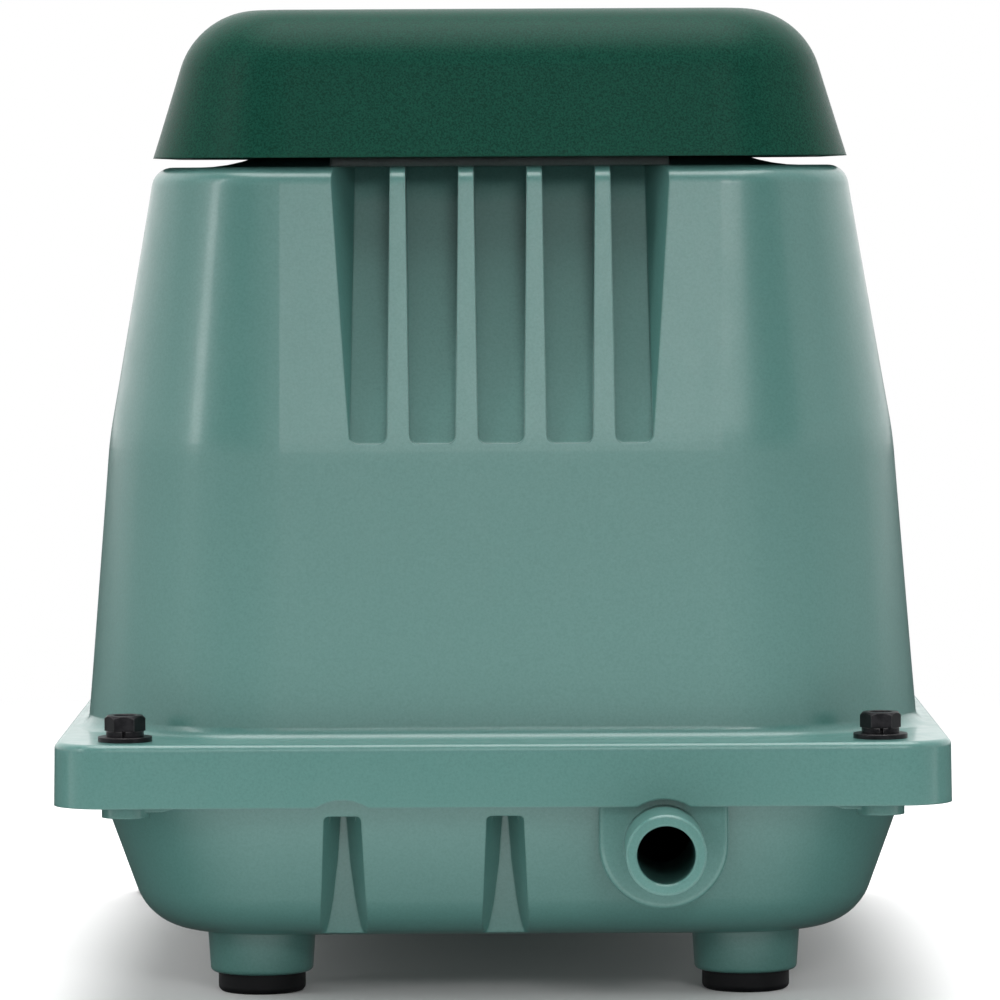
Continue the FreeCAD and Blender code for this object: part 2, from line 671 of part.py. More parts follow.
def flange_bolts():
    bolts = []
    seat = FLANGE_Z + 1.1 + 1.3
    for sx in SIDES:
        for sy in ENDS:
            x, y = sx * BOLT_X, sy * BOLT_Y
            head = hexagon(x, y, seat, seat + BOLT_HEAD_H, BOLT_HEAD_AF)
            round_top = cyl(x, y, seat, seat + BOLT_HEAD_H, BOLT_HEAD_AF / math.sqrt(3))
            round_top = round_top.makeChamfer(0.7, edges_of_top(round_top, seat + BOLT_HEAD_H))
            head = head.common(round_top)
            head = head.cut(cyl(x, y, seat + BOLT_HEAD_H - 0.8, seat + BOLT_HEAD_H + 1, 2.4, 3.0))
            bolts.append(head.fuse(cyl(x, y, LUG_Z + 3, seat, BOLT_R)).removeSplitter())
    return group(bolts)


def ring_at_bolts(z0, z1, outer, gap):
    rings = []
    for sx in SIDES:
        for sy in ENDS:
            x, y = sx * BOLT_X, sy * BOLT_Y
            ring = cyl(x, y, z0, z1, outer).cut(cyl(x, y, z0 - 1, z1 + 1, BOLT_R + 0.1))
            if gap:
                ring = ring.cut(box(x - 0.4, x + 0.4, y - outer - 1, y, z0 - 1, z1 + 1))
            rings.append(ring)
    return group(rings)


def housing_gasket():
    reach = SKIRT_T + 2 * RIM_GAP
    outer = slab(FLANGE_X - reach, FLANGE_Y - reach, FLANGE_R - reach + 0.5, RIM_TOP, RIM_TOP + GASKET_T)
    ring = outer.cut(slab(LID_X + 2.5, LID_Y + 2.5, LID_R + 2.5, RIM_TOP - 1, RIM_TOP + 2))
    for sx in SIDES:
        for sy in ENDS:
            ring = ring.cut(cyl(sx * BOLT_X, sy * BOLT_Y, RIM_TOP - 1, RIM_TOP + 2, BOLT_R + 0.2))
    return ring.cut(box(-8.5, 8.5, LID_Y, FLANGE_Y, RIM_TOP - 1, RIM_TOP + 2))


# ---- filter, cover and cover screw ----
def cover_levels(inset=0.0, z0=COVER_Z, z1=COVER_TOP):
    return [(z, COVER_R - (z - COVER_Z) * COVER_LEAN - inset) for z in (z0, z1)]


def filter_cover():
    outer = leaning_block(COVER_AXIS, cover_levels())
    outer = outer.makeFillet(COVER_EDGE_R, edges_at(outer, COVER_TOP))
    inner = leaning_block(COVER_AXIS, cover_levels(COVER_T, COVER_Z - 1, COVER_TOP - COVER_T))
    inner = inner.makeFillet(COVER_EDGE_R - COVER_T, edges_at(inner, COVER_TOP - COVER_T))
    shell = outer.cut(inner)
    # ribs that stand on the tray's lip and keep the rim clear of the housing
    top = COVER_TOP - 1
    ribs = []
    for side in SIDES:
        for y in (-48.0, 0.0, 48.0):
            x0, x1 = span_y(side, TRAY_X + 0.6, TRAY_X + 10)
            ribs.append(box(x0, x1, y - 1.2, y + 1.2, TRAY_LIP_Z, top))
        for x in (-30.0, 30.0):
            y0, y1 = span_y(side, TRAY_Y + 0.6, TRAY_Y + 10)
            ribs.append(box(x - 1.2, x + 1.2, y0, y1, TRAY_LIP_Z, top))
    ribs = [r.common(outer) for r in ribs]
    boss = cyl(0, 0, TRAY_LIP_Z + 0.4, top, COVER_BOSS_R)
    shell = fused([shell, boss] + ribs)
    shell = shell.cut(cyl(0, 0, TRAY_LIP_Z - 1, COVER_TOP + 1, 2.8))
    return shell.cut(cyl(0, 0, COVER_TOP - 2.6, COVER_TOP + 1, 5.4)).removeSplitter()


def cover_screw():
    z = COVER_TOP - 2.6
    head = cyl(0, 0, z, COVER_TOP + 0.5, 5.0)
    head = head.makeFillet(1.6, edges_of_top(head, COVER_TOP + 0.5))
    slot = box(-0.65, 0.65, -6, 6, COVER_TOP - 1.0, COVER_TOP + 2)
    return head.fuse(cyl(0, 0, TRAY_Z + 4, z, BOLT_R)).cut(slot).removeSplitter()


def filter_element():
    pad = slab(TRAY_X - 0.8, TRAY_Y - 0.8, TRAY_R - 0.8, TRAY_Z, FILTER_TOP)
    return pad.cut(cyl(0, 0, TRAY_Z - 1, FILTER_TOP + 1, COVER_BOSS_R + 0.7))


# ---- tank lid, mounts, frame ----
def tank_lid():
    z = SHELF_Z + GASKET_T
    plate = slab(LID_X, LID_Y, LID_R, z, z + LID_T)
    for end in ENDS:
        y = end * HOSE_Y
        plate = plate.fuse(cyl(0, y, z, z + LID_T + 6.5, 5.0))
        plate = plate.fuse(cyl(0, y, z + LID_T + 4.5, z + LID_T + 6, 5.5, 5.0))
        plate = plate.cut(cyl(0, y, z - 1, z + 20, 3.5))
    for x, y in lid_screw_places():
        plate = plate.cut(cyl(x, y, z - 1, z + 4, 2.2))
    for sx in SIDES:
        for sy in ENDS:
            plate = plate.cut(cyl(sx * MOUNT_X, sy * MOUNT_Y, z - 1, z + 4, 4.0))
    for x, y in small_screw_places():
        plate = plate.cut(cyl(x, y, z - 1, z + 4, 1.55))
    return plate.removeSplitter()


def tank_lid_gasket():
    ring = slab(LID_X - 0.5, LID_Y - 0.5, LID_R - 0.5, SHELF_Z, SHELF_Z + GASKET_T)
    ring = ring.cut(slab(LID_X - 12.5, LID_Y - 12.5, LID_R - 12, SHELF_Z - 1, SHELF_Z + 2))
    for x, y in lid_screw_places():
        ring = ring.cut(cyl(x, y, SHELF_Z - 1, SHELF_Z + 2, 2.2))
    return ring


def tank_lid_screws():
    return group([pan_head_screw(x, y, LID_TOP, 3.7, 2.4, 2.0, 7.5) for x, y in lid_screw_places()])


def vibration_mounts():
    mounts = []
    for sx in SIDES:
        for sy in ENDS:
            x, y = sx * MOUNT_X, sy * MOUNT_Y
            mount = cyl(x, y, LID_TOP, FRAME_Z, 8.0)
            waist = Part.makeTorus(9.6, 3.4, Vector(x, y, (LID_TOP + FRAME_Z) / 2))
            mount = mount.cut(waist)
            mount = mount.fuse(cyl(x, y, SHELF_Z + GASKET_T, LID_TOP, 3.95))
            mounts.append(mount.cut(cyl(x, y, LID_TOP + 3, FRAME_Z + 1, 2.05)).removeSplitter())
    return group(mounts)


def mount_screws():
    places = [(sx * MOUNT_X, sy * MOUNT_Y) for sx in SIDES for sy in ENDS]
    return group([pan_head_screw(x, y, FRAME_Z + FRAME_T, 4.0, 2.6, 2.0, 11.0) for x, y in places])


def square_plate(y0, y1, half=PLATE, r=PLATE_R):
    """A rounded square plate standing across the armature's axis."""
    plate = slab(half, half, r, 0, abs(y1 - y0))
    plate.rotate(Vector(0, 0, 0), Vector(1, 0, 0), 90)
    plate.translate(Vector(0, max(y0, y1), AXIS_Z))
    return plate


def corner_holes(y0, y1, r):
    return [cyl_y(sx * SCREW_AT, AXIS_Z + sz * SCREW_AT, y0, y1, r) for sx in SIDES for sz in (-1, 1)]


def motor_frame():
    parts = [box(-48, 48, -FRAME_Y[1], FRAME_Y[1], FRAME_Z, FRAME_Z + FRAME_T)]
    for end in ENDS:
        y0, y1 = span_y(end, *FRAME_Y)
        parts.append(square_plate(y0, y1))
        for side in SIDES:
            near, far = span_y(end, 29, FRAME_Y[0] + 0.5)
            parts.append(box(side * 42 - 2, side * 42 + 2, near, far, FRAME_Z + 3, 84))
    for side in SIDES:
        x0, x1 = sorted((side * (CORE_BACK[0] + 0.5), side * 48))
        parts.append(box(x0, x1, -28, 28, FRAME_Z + FRAME_T - 1, AXIS_Z - CORE_Z))
        for end in ENDS:
            near, far = sorted((side * 47, side * 67))
            y = end * MOUNT_Y
            parts.append(box(near, far, y - 9, y + 9, FRAME_Z, FRAME_Z + FRAME_T))
    frame = fused(parts)
    for end in ENDS:
        frame = frame.cut(cyl_y(0, AXIS_Z, end * 30, end * 50, CHAMBER_R - 1))
        for hole in corner_holes(end * (FRAME_Y[0] - 1), end * (FRAME_Y[1] + 1), 2.05):
            frame = frame.cut(hole)
        for side in SIDES:
            frame = frame.cut(cyl(side * MOUNT_X, end * MOUNT_Y, FRAME_Z - 1, FRAME_Z + FRAME_T + 1, 2.2))
            frame = frame.cut(cyl(side * 41, end * 24.2, AXIS_Z - CORE_Z - 12, AXIS_Z, 2.05))
    frame = frame.cut(box(-26, 26, -30, 30, FRAME_Z - 1, FRAME_Z + FRAME_T + 1))
    return frame.removeSplitter()


# ---- electromagnets and armature ----
def stator_core(side):
    """An E-shaped iron stack, its legs reaching for the armature."""
    z0, z1 = AXIS_Z - CORE_Z, AXIS_Z + CORE_Z
    back = CORE_OUTER_Y[1]
    parts = [box(CORE_BACK[0], CORE_BACK[1], -back, back, z0, z1)]
    parts.append(box(CORE_TIP_X, CORE_BACK[0] + 1, -CORE_LEG_Y, CORE_LEG_Y, z0, z1))
    for end in ENDS:
        y0, y1 = span_y(end, *CORE_OUTER_Y)
        parts.append(box(CORE_TIP_X, CORE_BACK[0] + 1, y0, y1, z0, z1))
    core = fused(parts)
    for end in ENDS:
        core = core.cut(cyl(41, end * 24.2, z0 - 1, z1 + 1, 2.2))
    return core if side > 0 else mirror_x(core)


def bobbin(side):
    x0, x1 = 13.0, 35.8
    outer_y, outer_z = 19.6, 28.0
    gap = 0.2
    tube = box(x0, x1, -CORE_LEG_Y - 1.4, CORE_LEG_Y + 1.4, AXIS_Z - CORE_Z - 1.4, AXIS_Z + CORE_Z + 1.4)
    parts = [tube]
    for x in (x0, x1 - 1.4):
        parts.append(box(x, x + 1.4, -outer_y, outer_y, AXIS_Z - outer_z, AXIS_Z + outer_z))
    spool = fused(parts)
    hole = box(
        x0 - 1, x1 + 1, -CORE_LEG_Y - gap, CORE_LEG_Y + gap, AXIS_Z - CORE_Z - gap, AXIS_Z + CORE_Z + gap
    )
    spool = spool.cut(hole)
    return spool if side > 0 else mirror_x(spool)


def coil(side):
    x0, x1 = 14.5, 34.3
    half_y, half_z = 18.6, 27.0
    winding = slab(half_y, half_z, 7.0, 0, x1 - x0)
    winding = winding.cut(slab(CORE_LEG_Y + 1.5, CORE_Z + 1.5, 0.2, -1, x1 - x0 + 1))
    winding.rotate(Vector(0, 0, 0), Vector(0, 1, 0), 90)
    winding.rotate(Vector(0, 0, 0), Vector(1, 0, 0), 90)
    winding.translate(Vector(x0, 0, AXIS_Z))
    return winding if side > 0 else mirror_x(winding)


def core_screws():
    places = [(sx * 41, sy * 24.2) for sx in SIDES for sy in ENDS]
    length = 2 * CORE_Z + 10
    return group([pan_head_screw(x, y, AXIS_Z + CORE_Z, 3.6, 2.4, 2.0, length) for x, y in places])


def armature_rod():
    rod = box(-MAGNET_X, MAGNET_X, -25, 25, AXIS_Z - 16, AXIS_Z + 16)
    for end in ENDS:
        y0, y1 = span_y(end, 3.0, 21.0)
        rod = rod.cut(box(-MAGNET_X - 1, MAGNET_X + 1, y0, y1, AXIS_Z - 13, AXIS_Z + 13))
        rod = rod.fuse(cyl_y(0, AXIS_Z, end * 24, end * 42, 4.0))
        rod = rod.fuse(cyl_y(0, AXIS_Z, end * 41, end * 56, 3.0))
        rod = rod.fuse(cyl_y(0, AXIS_Z, end * 26.5, end * 28.5, 6.5))
    return rod.removeSplitter()


def magnets():
    blocks = []
    for end in ENDS:
        y0, y1 = span_y(end, 3.05, 20.95)
        blocks.append(box(-MAGNET_X, MAGNET_X, y0, y1, AXIS_Z - 12.95, AXIS_Z + 12.95))
    return group(blocks)


def diaphragm_plates():
    plates = []
    for end in ENDS:
        for near, far in ((42.0, DIAPHRAGM_Y[0]), (DIAPHRAGM_Y[1], 50.0)):
            plate = cyl_y(0, AXIS_Z, end * near, end * far, 25.0)
            rim = [e for e in plate.Edges if e.BoundBox.YLength < 1e-6 and e.BoundBox.XLength > 40]
            plate = plate.makeFillet(0.8, rim)
            plates.append(plate.cut(cyl_y(0, AXIS_Z, end * 40, end * 52, 3.05)))
    return group(plates)


def rod_nuts():
    nuts = []
    for end in ENDS:
        nut = hexagon(0, 0, 0, 5.0, 10.0)
        nut.rotate(Vector(0, 0, 0), Vector(1, 0, 0), -90)
        nut.translate(Vector(0, 50.0, AXIS_Z))
        nut = nut.cut(cyl_y(0, AXIS_Z, 49, 57, 3.05))
        nuts.append(nut if end > 0 else mirror_y(nut))
    return group(nuts)


# ---- pump chambers ----
def diaphragm(end):
    """A rubber sheet with one rolled convolution between its clamped rim and its plates."""
    y0, y1 = DIAPHRAGM_Y
    sheet = square_plate(y0, y1)
    roll_r, roll = 29.0, 2.6
    outer = Part.makeTorus(roll_r, roll, Vector(0, y1 - 1, AXIS_Z), Vector(0, 1, 0))
    inner = Part.makeTorus(roll_r, roll - 1.4, Vector(0, y1 - 1.2, AXIS_Z), Vector(0, 1, 0))
    sheet = sheet.fuse(outer.common(box(-50, 50, y0, y1 + 4, 50, 170)))
    sheet = sheet.cut(inner.common(box(-50, 50, y0 - 4, y1 + 4, 50, 170)))
    sheet = sheet.cut(cyl_y(0, AXIS_Z, y0 - 3, y1 + 3, 3.05))
    for hole in corner_holes(y0 - 1, y1 + 1, 2.2):
        sheet = sheet.cut(hole)
    sheet = sheet.removeSplitter()
    return sheet if end > 0 else mirror_y(sheet)


def chamber_block(end):
    y0, y1 = BLOCK_Y
    block = square_plate(y0, y1)
    block = block.cut(cyl_y(0, AXIS_Z, y0 - 1, y1 - VALVE_WALL, CHAMBER_R))
    for sz in (-1, 1):
        block = block.cut(cyl_y(0, AXIS_Z + sz * VALVE_AT, y0, y1 + 1, PORT_R))
    for hole in corner_holes(y0 - 1, y1 + 1, 2.2):
        block = block.cut(hole)
    return block if end > 0 else mirror_y(block)


def flap(end, sign):
    """A rubber flap over one port: sign +1 is the inlet, inside the chamber; -1 the outlet."""
    z = AXIS_Z + sign * VALVE_AT
    wall_in = BLOCK_Y[1] - VALVE_WALL
    y0, y1 = (wall_in - FLAP_T, wall_in) if sign > 0 else (BLOCK_Y[1], BLOCK_Y[1] + FLAP_T)
    disc = cyl_y(0, z, y0, y1, FLAP_R)
    tab = box(-5, 5, y0, y1, z, z + FLAP_R + 2.5)
    whole = disc.fuse(tab).removeSplitter()
    return whole if end > 0 else mirror_y(whole)


def valve_cavity(y0, y1, sz):
    """One of the two compartments of a valve cover."""
    z0, z1 = sorted((AXIS_Z + sz * 2.0, AXIS_Z + sz * 33.0))
    return box(-30, 30, y0, y1, z0, z1)


def valve_gaskets():
    sheets = []
    for end in ENDS:
        y0, y1 = BLOCK_Y[1], VALVE_COVER_Y[0]
        sheet = square_plate(y0, y1, PLATE - 4, PLATE_R)
        for sz in (-1, 1):
            sheet = sheet.cut(valve_cavity(y0 - 1, y1 + 1, sz))
        for hole in corner_holes(y0 - 1, y1 + 1, 2.2):
            sheet = sheet.cut(hole)
        sheets.append(sheet if end > 0 else mirror_y(sheet))
    return group(sheets)


def valve_cover(end):
    y0, y1 = VALVE_COVER_Y
    cover = square_plate(y0, y1, PLATE - 4, PLATE_R)
    rim = [e for e in cover.Edges if abs(e.BoundBox.YMin - y1) < 1e-6 and e.BoundBox.YLength < 1e-6]
    cover = cover.makeFillet(2.0, rim)
    cover = cover.fuse(cyl(0, HOSE_Y, AXIS_Z - PLATE - 2.5, AXIS_Z - 35, 5.0))
    for sz in (-1, 1):
        cover = cover.cut(valve_cavity(y0 - 1, y1 - 2.5, sz))
    cover = cover.cut(cyl(0, HOSE_Y, AXIS_Z - PLATE - 5, AXIS_Z - 20, 3.5))
    # inlet slots through the top wall
    for i in range(4):
        x = (i - 1.5) * 14
        cover = cover.cut(box(x - 5, x + 5, y0 + 3, y1 - 4, AXIS_Z + 25, AXIS_Z + PLATE + 1))
    for hole in corner_holes(y0 - 1, y1 + 1, 2.2):
        cover = cover.cut(hole)
    cover = cover.removeSplitter()
    return cover if end > 0 else mirror_y(cover)


def chamber_screws():
    screws = []
    for end in ENDS:
        for sx in SIDES:
            for sz in (-1, 1):
                screw = pan_head_screw(0, 0, 0, 3.6, 2.4, 2.0, VALVE_COVER_Y[1] - FRAME_Y[0] + 1)
                screw.rotate(Vector(0, 0, 0), Vector(1, 0, 0), -90)
                screw.translate(Vector(sx * SCREW_AT, VALVE_COVER_Y[1], AXIS_Z + sz * SCREW_AT))
                screws.append(screw if end > 0 else mirror_y(screw))
    return group(screws)


def outlet_hose(end):
    z0, z1 = LID_TOP + 0.5, AXIS_Z - PLATE + 3.5
    hose = cyl(0, end * HOSE_Y, z0, z1, 7.0)
    ridge = Part.makeTorus(7.0, 0.9, Vector(0, end * HOSE_Y, (z0 + z1) / 2 + 0.2))
    hose = hose.fuse(ridge)
    hose = hose.cut(cyl(0, end * HOSE_Y, z0 - 1, z1 + 1, 5.05))
    return hose.cut(cyl(0, end * HOSE_Y, LID_TOP + 4.3, LID_TOP + 6.6, 5.6)).removeSplitter()


def hose_clips():
    clips = []
    for end in ENDS:
        for z0 in (LID_TOP + 1.2, AXIS_Z - PLATE - 1.2):
            clip = cyl(0, end * HOSE_Y, z0, z0 + 3.2, 7.9)
            ears = box(7.0, 11.5, end * HOSE_Y - 2.2, end * HOSE_Y + 2.2, z0, z0 + 3.2)
            clip = clip.fuse(ears).cut(box(6.0, 12.5, end * HOSE_Y - 0.7, end * HOSE_Y + 0.7, z0 - 1, z0 + 5))
            clips.append(clip.cut(cyl(0, end * HOSE_Y, z0 - 1, z0 + 5, 7.02)).removeSplitter())
    return group(clips)


# ---- wiring ----
def small_screw_places():
    """Screws that hold the terminal block, the cord clamp and the earth lug to the lid."""
    return [(-55.0, 78.0), (-69.5, 78.0), (-30.0, CLAMP_Y - 8.2), (-30.0, CLAMP_Y + 8.2), (26.0, 88.0)]


def power_cord():
    """From the terminal block through the bushing, down behind the pump, a flat hank, then the plug."""
    bend = (HANK_FAR - HANK_NEAR) / 2
    straight = HANK_RIGHT - HANK_LEFT
    up, right = Vector(0, 0, 1), Vector(0, 1, 0)
    top = HANK_Z + 2 * HANK_PITCH
    route = Route(Vector(-50.5, CLAMP_Y, CORD_Z), Vector(1, 0, 0))
    route.ahead(38.5)
    route.turn(up, 12.0, 90)
    drop_y = HANK_FAR - 10.0
    route.ahead(drop_y - route.at.y)
    route.turn(Vector(1, 0, 0), 10.0, -90)
    route.ahead(route.at.z - 10.0 - top)
    route.turn(right, 10.0, 90)
    route.ahead(route.at.x - HANK_LEFT)
    for level in range(2):
        route.turn(up, bend, 180)
        reach = route.step(right, 200.0, HANK_PITCH)
        route.ahead(straight - reach)
        route.turn(up, bend, 180)
        route.ahead(straight)
    # the free end runs up the middle of the hank, over its right-hand bends and down to the plug
    route.turn(up, bend, 180)
    route.step(up, 30.0, bend)
    lift = 2 * HANK_PITCH
    route.step(right, -40.0, lift)
    route.ahead(HANK_RIGHT + bend + CORD_R - route.at.x)
    route.step(right, 15.0, HANK_Z + lift - PLUG_Z)
    route.ahead(PLUG_X + 7.0 - route.at.x)
    return route.swept(CORD_R)


def cord_bushing():
    """A rubber bushing with a collar on each side of the housing's wall."""
    over_rim = LID_Y + 1
    inside = wall_y(CORD_Z + 9.5) - WALL - 0.1
    pieces = [
        arch(7.4, CORD_Z + 7.4, over_rim, FLANGE_Y + 0.2, RIM_TOP + 0.1),
        arch(7.4, CORD_Z + 7.4, inside - 2, over_rim, LID_TOP + 0.1),
        arch(9.5, CORD_Z + 9.5, inside - 2.4, inside, LID_TOP + 0.1),
        arch(9.5, CORD_Z + 9.5, FLANGE_Y + 0.2, FLANGE_Y + 2.4, RIM_TOP - 2),
    ]
    return fused(pieces).cut(cyl_y(0, CORD_Z, 90, FLANGE_Y + 5, CORD_R + 0.05))


def power_plug():
    y = (HANK_NEAR + HANK_FAR) / 2
    x0, x1 = PLUG_X + 8.5, PLUG_X + 32.5
    body = box(x0, x1, y - 11.5, y + 11.5, PLUG_Z - 8.0, PLUG_Z + 8.0)
    body = body.makeFillet(3.0, [e for e in body.Edges if e.BoundBox.XLength > 20])
    body = body.makeFillet(1.5, edges_x(body, x1))
    relief = cyl_x(y, PLUG_Z, PLUG_X, x0 + 1, 5.2)
    for i in range(3):
        x = PLUG_X + 1.4 + 2.4 * i
        relief = relief.cut(cyl_x(y, PLUG_Z, x, x + 1.0, 7).cut(cyl_x(y, PLUG_Z, x - 1, x + 3, 4.3)))
    plug = body.fuse(relief).cut(cyl_x(y, PLUG_Z, PLUG_X - 1, PLUG_X + 7.0, CORD_R + 0.05))
    for s in SIDES:
        blade_y = y + s * BLADE_Y
        plug = plug.cut(box(x1 - 8, x1 + 1, blade_y - 0.8, blade_y + 0.8, PLUG_Z - 3.2, PLUG_Z + 3.2))
    return plug.removeSplitter()


def edges_x(shape, x):
    return [e for e in shape.Edges if abs(e.BoundBox.XMin - x) < 1e-6 and abs(e.BoundBox.XMax - x) < 1e-6]


def plug_blades():
    blades = []
    x1 = PLUG_X + 32.5
    for s in SIDES:
        y = (HANK_NEAR + HANK_FAR) / 2 + s * BLADE_Y
        blade = box(x1 - 8, x1 + 17, y - 0.75, y + 0.75, PLUG_Z - 3.15, PLUG_Z + 3.15)
        blades.append(blade.cut(cyl_y(x1 + 13, PLUG_Z, y - 2, y + 2, 1.6)))
    return group(blades)


def cord_ties():
    """Flat bands round the hank, each with its small locking head."""
    half_y = (HANK_FAR - HANK_NEAR) / 2 + CORD_R
    half_z = HANK_PITCH + CORD_R
    ties = []
    for x in (-66.0, 4.0):
        band = slab(half_y + 0.9, half_z + 0.9, 4.0, 0, 3.6)
        band = band.fuse(box(-3, 3, half_z - 0.1, half_z + 2.6, 0, 3.6))
        band = band.cut(slab(half_y + 0.1, half_z + 0.1, 3.2, -1, 5))
        band.rotate(Vector(0, 0, 0), Vector(1, 0, 0), 90)
        band.rotate(Vector(0, 0, 0), Vector(0, 0, 1), 90)
        band.translate(Vector(x, (HANK_NEAR + HANK_FAR) / 2, HANK_Z + HANK_PITCH))
        ties.append(band.removeSplitter())
    return group(ties)


def terminal_block():
    z = LID_TOP
    block = box(-76, -50, 74, 86 + 2.5, z, z + 11)
    for i in range(3):
        x = -71.5 + 8.5 * i
        block = block.cut(cyl(x, 84.5, z + 5, z + 12, 2.2))
        block = block.fuse(box(x + 3.6, x + 4.6, 74, 88.5, z + 10, z + 13))
    block = block.cut(cyl_x(CLAMP_Y, CORD_Z, -52, -49, CORD_R + 0.05))
    for x, y in small_screw_places()[:2]:
        block = block.cut(cyl(x, y, z - 1, z + 20, 1.55)).cut(cyl(x, y, z + 4, z + 20, 3.1))
    return block.removeSplitter()


def cord_clamp():
    z = LID_TOP
    half = CORD_R + 1.6
    saddle = cyl_x(CLAMP_Y, CORD_Z, -34, -26, half)
    saddle = saddle.fuse(box(-34, -26, CLAMP_Y - half, CLAMP_Y + half, z, CORD_Z))
    saddle = saddle.fuse(box(-34, -26, CLAMP_Y - 11.6, CLAMP_Y + 11.6, z, z + 1.5))
    saddle = saddle.cut(cyl_x(CLAMP_Y, CORD_Z, -35, -25, CORD_R + 0.05))
    for x, y in small_screw_places()[2:4]:
        saddle = saddle.cut(cyl(x, y, z - 1, z + 4, 1.6))
    return saddle.removeSplitter()


def small_screws():
    screws = []
    for i, (x, y) in enumerate(small_screw_places()):
        seat = LID_TOP + (4.0 if i < 2 else 1.5 if i < 4 else 0.8)
        screws.append(pan_head_screw(x, y, seat, 2.8, 1.8, 1.5, seat - LID_TOP + 4.5))
    return group(screws)


def earth_lug():
    z = LID_TOP
    x, y = small_screw_places()[4]
    lug = cyl(x, y, z, z + 0.8, 4.0).fuse(box(x - 12, x, y - 2, y + 2, z, z + 0.8))
    return lug.cut(cyl(x, y, z - 1, z + 2, 1.6)).removeSplitter()


def coil_leads():
    """Two supply wires and the link between the coils."""
    start_z = LID_TOP + 7.0
    over = PLATE + AXIS_Z + 6
    end_z = AXIS_Z + 27.1
    left = [(-71.5, 84.5, start_z), (-71.8, 84.0, 78.0), (-70.0, 74.0, 92.0), (-58.0, 50.0, 128.0)]
    left += [(-40.0, 28.0, 145.0), (-26.0, 17.0, 146.0), (-24.0, 14.0, end_z)]
    right = [(-63.0, 84.5, start_z), (-63.2, 84.2, 80.0), (-62.0, 76.0, 100.0), (-56.0, 62.0, 140.0)]
    right += [(-42.0, 48.0, over), (-14.0, 28.0, over), (14.0, 18.0, 154.0), (24.0, 14.0, end_z)]
    link = [(-24.0, -14.0, end_z), (-23.0, -14.0, 147.0), (0.0, -16.0, 152.0)]
    link += [(23.0, -14.0, 147.0), (24.0, -14.0, end_z)]
    return group([pipe(points, 1.1) for points in (left, right, link)])


def thermal_protector():
    body = box(-30, -18, -5, 5, AXIS_Z + 27.0, AXIS_Z + 31.0)
    return body.makeFillet(1.0, [e for e in body.Edges if e.BoundBox.ZLength > 3])


# ---- over-stroke stop switch ----
def stop_switch():
    body = box(-11, 11, -FRAME_Y[0], -30, AXIS_Z + 36, AXIS_Z + 46)
    for side in SIDES:
        body = body.fuse(box(side * 5.0 - 1, side * 5.0 + 1, -38, -31, AXIS_Z + 30, AXIS_Z + 37))
    body = body.fuse(cyl_x(SWITCH_Y, PIVOT_Z, -6.0, 6.0, 1.0))
    return body.removeSplitter()


def stop_switch_lever():
    lever = cyl_x(SWITCH_Y, PIVOT_Z, -3.6, 3.6, 2.4)
    lever = lever.fuse(box(-2.2, 2.2, SWITCH_Y - 0.8, SWITCH_Y + 0.8, AXIS_Z + 6.2, PIVOT_Z - 1.8))
    return lever.cut(cyl_x(SWITCH_Y, PIVOT_Z, -8, 8, 1.05)).removeSplitter()


NODES = {
    "filter_cover": filter_cover,
    "filter_cover_screw": cover_screw,
    "filter_element": filter_element,
    "upper_housing": upper_housing,
    "housing_gasket": housing_gasket,
    "tank": tank,
    "flange_bolts": flange_bolts,
    "flat_washers": lambda: ring_at_bolts(FLANGE_Z, FLANGE_Z + 1.1, 6.1, False),
    "spring_washers": lambda: ring_at_bolts(FLANGE_Z + 1.1, FLANGE_Z + 2.4, 4.25, True),
    "rubber_feet": rubber_feet,
    "foot_screws": foot_screws,
    "cord_bushing": cord_bushing,
    "power_cord": power_cord,
    "power_plug": power_plug,
    "plug_blades": plug_blades,
    "cord_ties": cord_ties,
    "tank_lid": tank_lid,
    "tank_lid_gasket": tank_lid_gasket,
    "tank_lid_screws": tank_lid_screws,
    "vibration_mounts": vibration_mounts,
    "mount_screws": mount_screws,
    "motor_frame": motor_frame,
    "stator_core_left": lambda: stator_core(-1),
    "stator_core_right": lambda: stator_core(1),
    "core_screws": core_screws,
    "bobbin_left": lambda: bobbin(-1),
    "bobbin_right": lambda: bobbin(1),
    "coil_left": lambda: coil(-1),
    "coil_right": lambda: coil(1),
    "armature_rod": armature_rod,
    "magnets": magnets,
    "diaphragm_plates": diaphragm_plates,
    "rod_nuts": rod_nuts,
    "diaphragm_front": lambda: diaphragm(-1),
    "diaphragm_rear": lambda: diaphragm(1),
    "chamber_block_front": lambda: chamber_block(-1),
    "chamber_block_rear": lambda: chamber_block(1),
    "inlet_flap_front": lambda: flap(-1, 1),
    "inlet_flap_rear": lambda: flap(1, 1),
    "outlet_flap_front": lambda: flap(-1, -1),
    "outlet_flap_rear": lambda: flap(1, -1),
    "valve_gaskets": valve_gaskets,
    "valve_cover_front": lambda: valve_cover(-1),
    "valve_cover_rear": lambda: valve_cover(1),
    "chamber_screws": chamber_screws,
    "outlet_hose_front": lambda: outlet_hose(-1),
    "outlet_hose_rear": lambda: outlet_hose(1),
    "hose_clips": hose_clips,
    "terminal_block": terminal_block,
    "cord_clamp": cord_clamp,
    "small_screws": small_screws,
    "earth_lug": earth_lug,
    "coil_leads": coil_leads,
    "thermal_protector": thermal_protector,
    "stop_switch": stop_switch,
    "stop_switch_lever": stop_switch_lever,
}


def main():
    os.makedirs("parts", exist_ok=True)
    for name, build in NODES.items():
        shape = build().translated(Vector(0, 0, FOOT_DROP))
        shape.exportStep(os.path.join("parts", name + ".step"))


main()
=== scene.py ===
"""Looks of the air pump: studio, camera, materials, and the wound, soft and foamed pieces."""

import math

